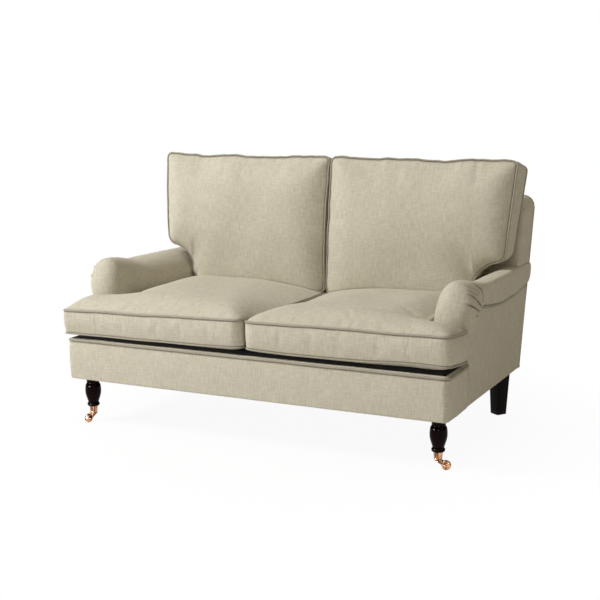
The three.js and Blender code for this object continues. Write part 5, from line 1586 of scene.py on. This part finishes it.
def studio_piece(name, points, quads, material_name):
    """A flat piece of the studio with a new material. Returns the piece, the material's node tree and
    that tree's output."""
    mesh = bpy.data.meshes.new(name)
    mesh.from_pydata(points, [], quads)
    piece = bpy.data.objects.new(name, mesh)
    scene.collection.objects.link(piece)
    material, tree, output = new_material(material_name)
    mesh.materials.append(material)
    return piece, tree, output


def only_in_reflections(piece):
    """Hides a piece of the studio from all that isn't polished."""
    piece.visible_camera = False
    piece.visible_diffuse = False
    piece.visible_shadow = False
    piece.visible_transmission = False


def floor():
    """A white floor. Near the sofa it shows part of its shadow, and further away it is plain white."""
    size = 30
    shadow_from, shadow_to, shadow_share = 0.7, 1.3, 0.06
    corners = [(-size, -size, 0), (size, -size, 0), (size, size, 0), (-size, size, 0)]
    _, tree, output = studio_piece("floor", corners, [(0, 1, 2, 3)], "white_studio_floor")
    paint = add_node(tree, "ShaderNodeBsdfDiffuse", {"Color": colour("#f4f4f4")})
    glow = add_node(tree, "ShaderNodeEmission", {"Color": WHITE, "Strength": 1.0})
    place = add_node(tree, "ShaderNodeTexCoord").outputs["Object"]
    away = add_node(tree, "ShaderNodeVectorMath", {0: place}, operation="LENGTH").outputs[1]
    near = add_node(tree, "ShaderNodeMapRange", {
        0: away, 1: shadow_from, 2: shadow_to, 3: shadow_share, 4: 0.0}, clamp=True).outputs[0]
    shaded = add_node(tree, "ShaderNodeMixShader", {0: near, 1: glow.outputs[0], 2: paint.outputs[0]})
    mixed = add_node(tree, "ShaderNodeMixShader", {
        0: white_rays(tree), 1: paint.outputs[0], 2: shaded.outputs[0]})
    tree.links.new(mixed.outputs[0], output.inputs[0])


def dark_flags():
    """Tall black panels round the studio with bright slits between them. Only what is polished sees
    them, as the dark streaks in the copper and the lacquer."""
    count, spread, away, height = 6, math.radians(44), 6.0, 3.4
    points, quads = [], []
    for k in range(count):
        for turn in (-spread / 2, spread / 2):
            angle = 2 * math.pi * k / count + math.radians(12) + turn
            points += [(away * math.cos(angle), away * math.sin(angle), z) for z in (0.0, height)]
        quads.append((4 * k, 4 * k + 1, 4 * k + 3, 4 * k + 2))
    piece, tree, output = studio_piece("dark_flags", points, quads, "black_flag_cloth")
    paint = add_node(tree, "ShaderNodeBsdfDiffuse", {"Color": colour("#0a0807")})
    tree.links.new(paint.outputs[0], output.inputs[0])
    only_in_reflections(piece)


def bright_card(name, place, target, width, height, strength):
    """A lit card that only polished surfaces see, as the small lights in the lacquer of the legs."""
    x, z = width / 2, height / 2
    corners = [(-x, 0, -z), (x, 0, -z), (x, 0, z), (-x, 0, z)]
    piece, tree, output = studio_piece(name, corners, [(0, 1, 2, 3)], f"{name}_light")
    piece.location = place
    towards = math.atan2(target[1] - place[1], target[0] - place[0])
    piece.rotation_euler = (0, 0, towards - math.pi / 2)
    glow = add_node(tree, "ShaderNodeEmission", {"Color": WHITE, "Strength": strength})
    tree.links.new(glow.outputs[0], output.inputs[0])
    only_in_reflections(piece)


def lamp(name, place, target, size, power):
    """A square area lamp that faces its target."""
    data = bpy.data.lights.new(name, "AREA")
    data.shape = "SQUARE"
    data.size = size
    data.energy = power
    piece = bpy.data.objects.new(name, data)
    piece.location = place
    way = np.array(target, float) - np.array(place, float)
    piece.rotation_euler = (math.acos(-way[2] / np.linalg.norm(way)), 0, math.atan2(-way[0], way[1]))
    scene.collection.objects.link(piece)


floor()
dark_flags()
bright_card("left_card", (-1.5, -2.6, 0.55), (0, 0, 0.2), width=0.9, height=0.7, strength=90)
bright_card("front_card", (1.75, -3.1, 0.5), (0.3, 0, 0.2), width=0.35, height=0.4, strength=40)
lamp("key", (-3.73, -3.23, 4.4), (0, 0, 0.45), size=1.5, power=338)

# The sky is white where it is seen straight on, and lights the sofa softly and warmly
world = bpy.data.worlds.new("studio")
scene.world = world
world.use_nodes = True
sky = world.node_tree
sky.nodes.clear()
white = add_node(sky, "ShaderNodeBackground", {"Color": WHITE, "Strength": 1.0}).outputs[0]
soft = add_node(sky, "ShaderNodeBackground", {"Color": (1, 0.92, 0.75, 1), "Strength": 0.38}).outputs[0]
both = add_node(sky, "ShaderNodeMixShader", {0: white_rays(sky), 1: soft, 2: white}).outputs[0]
add_node(sky, "ShaderNodeOutputWorld", {0: both})
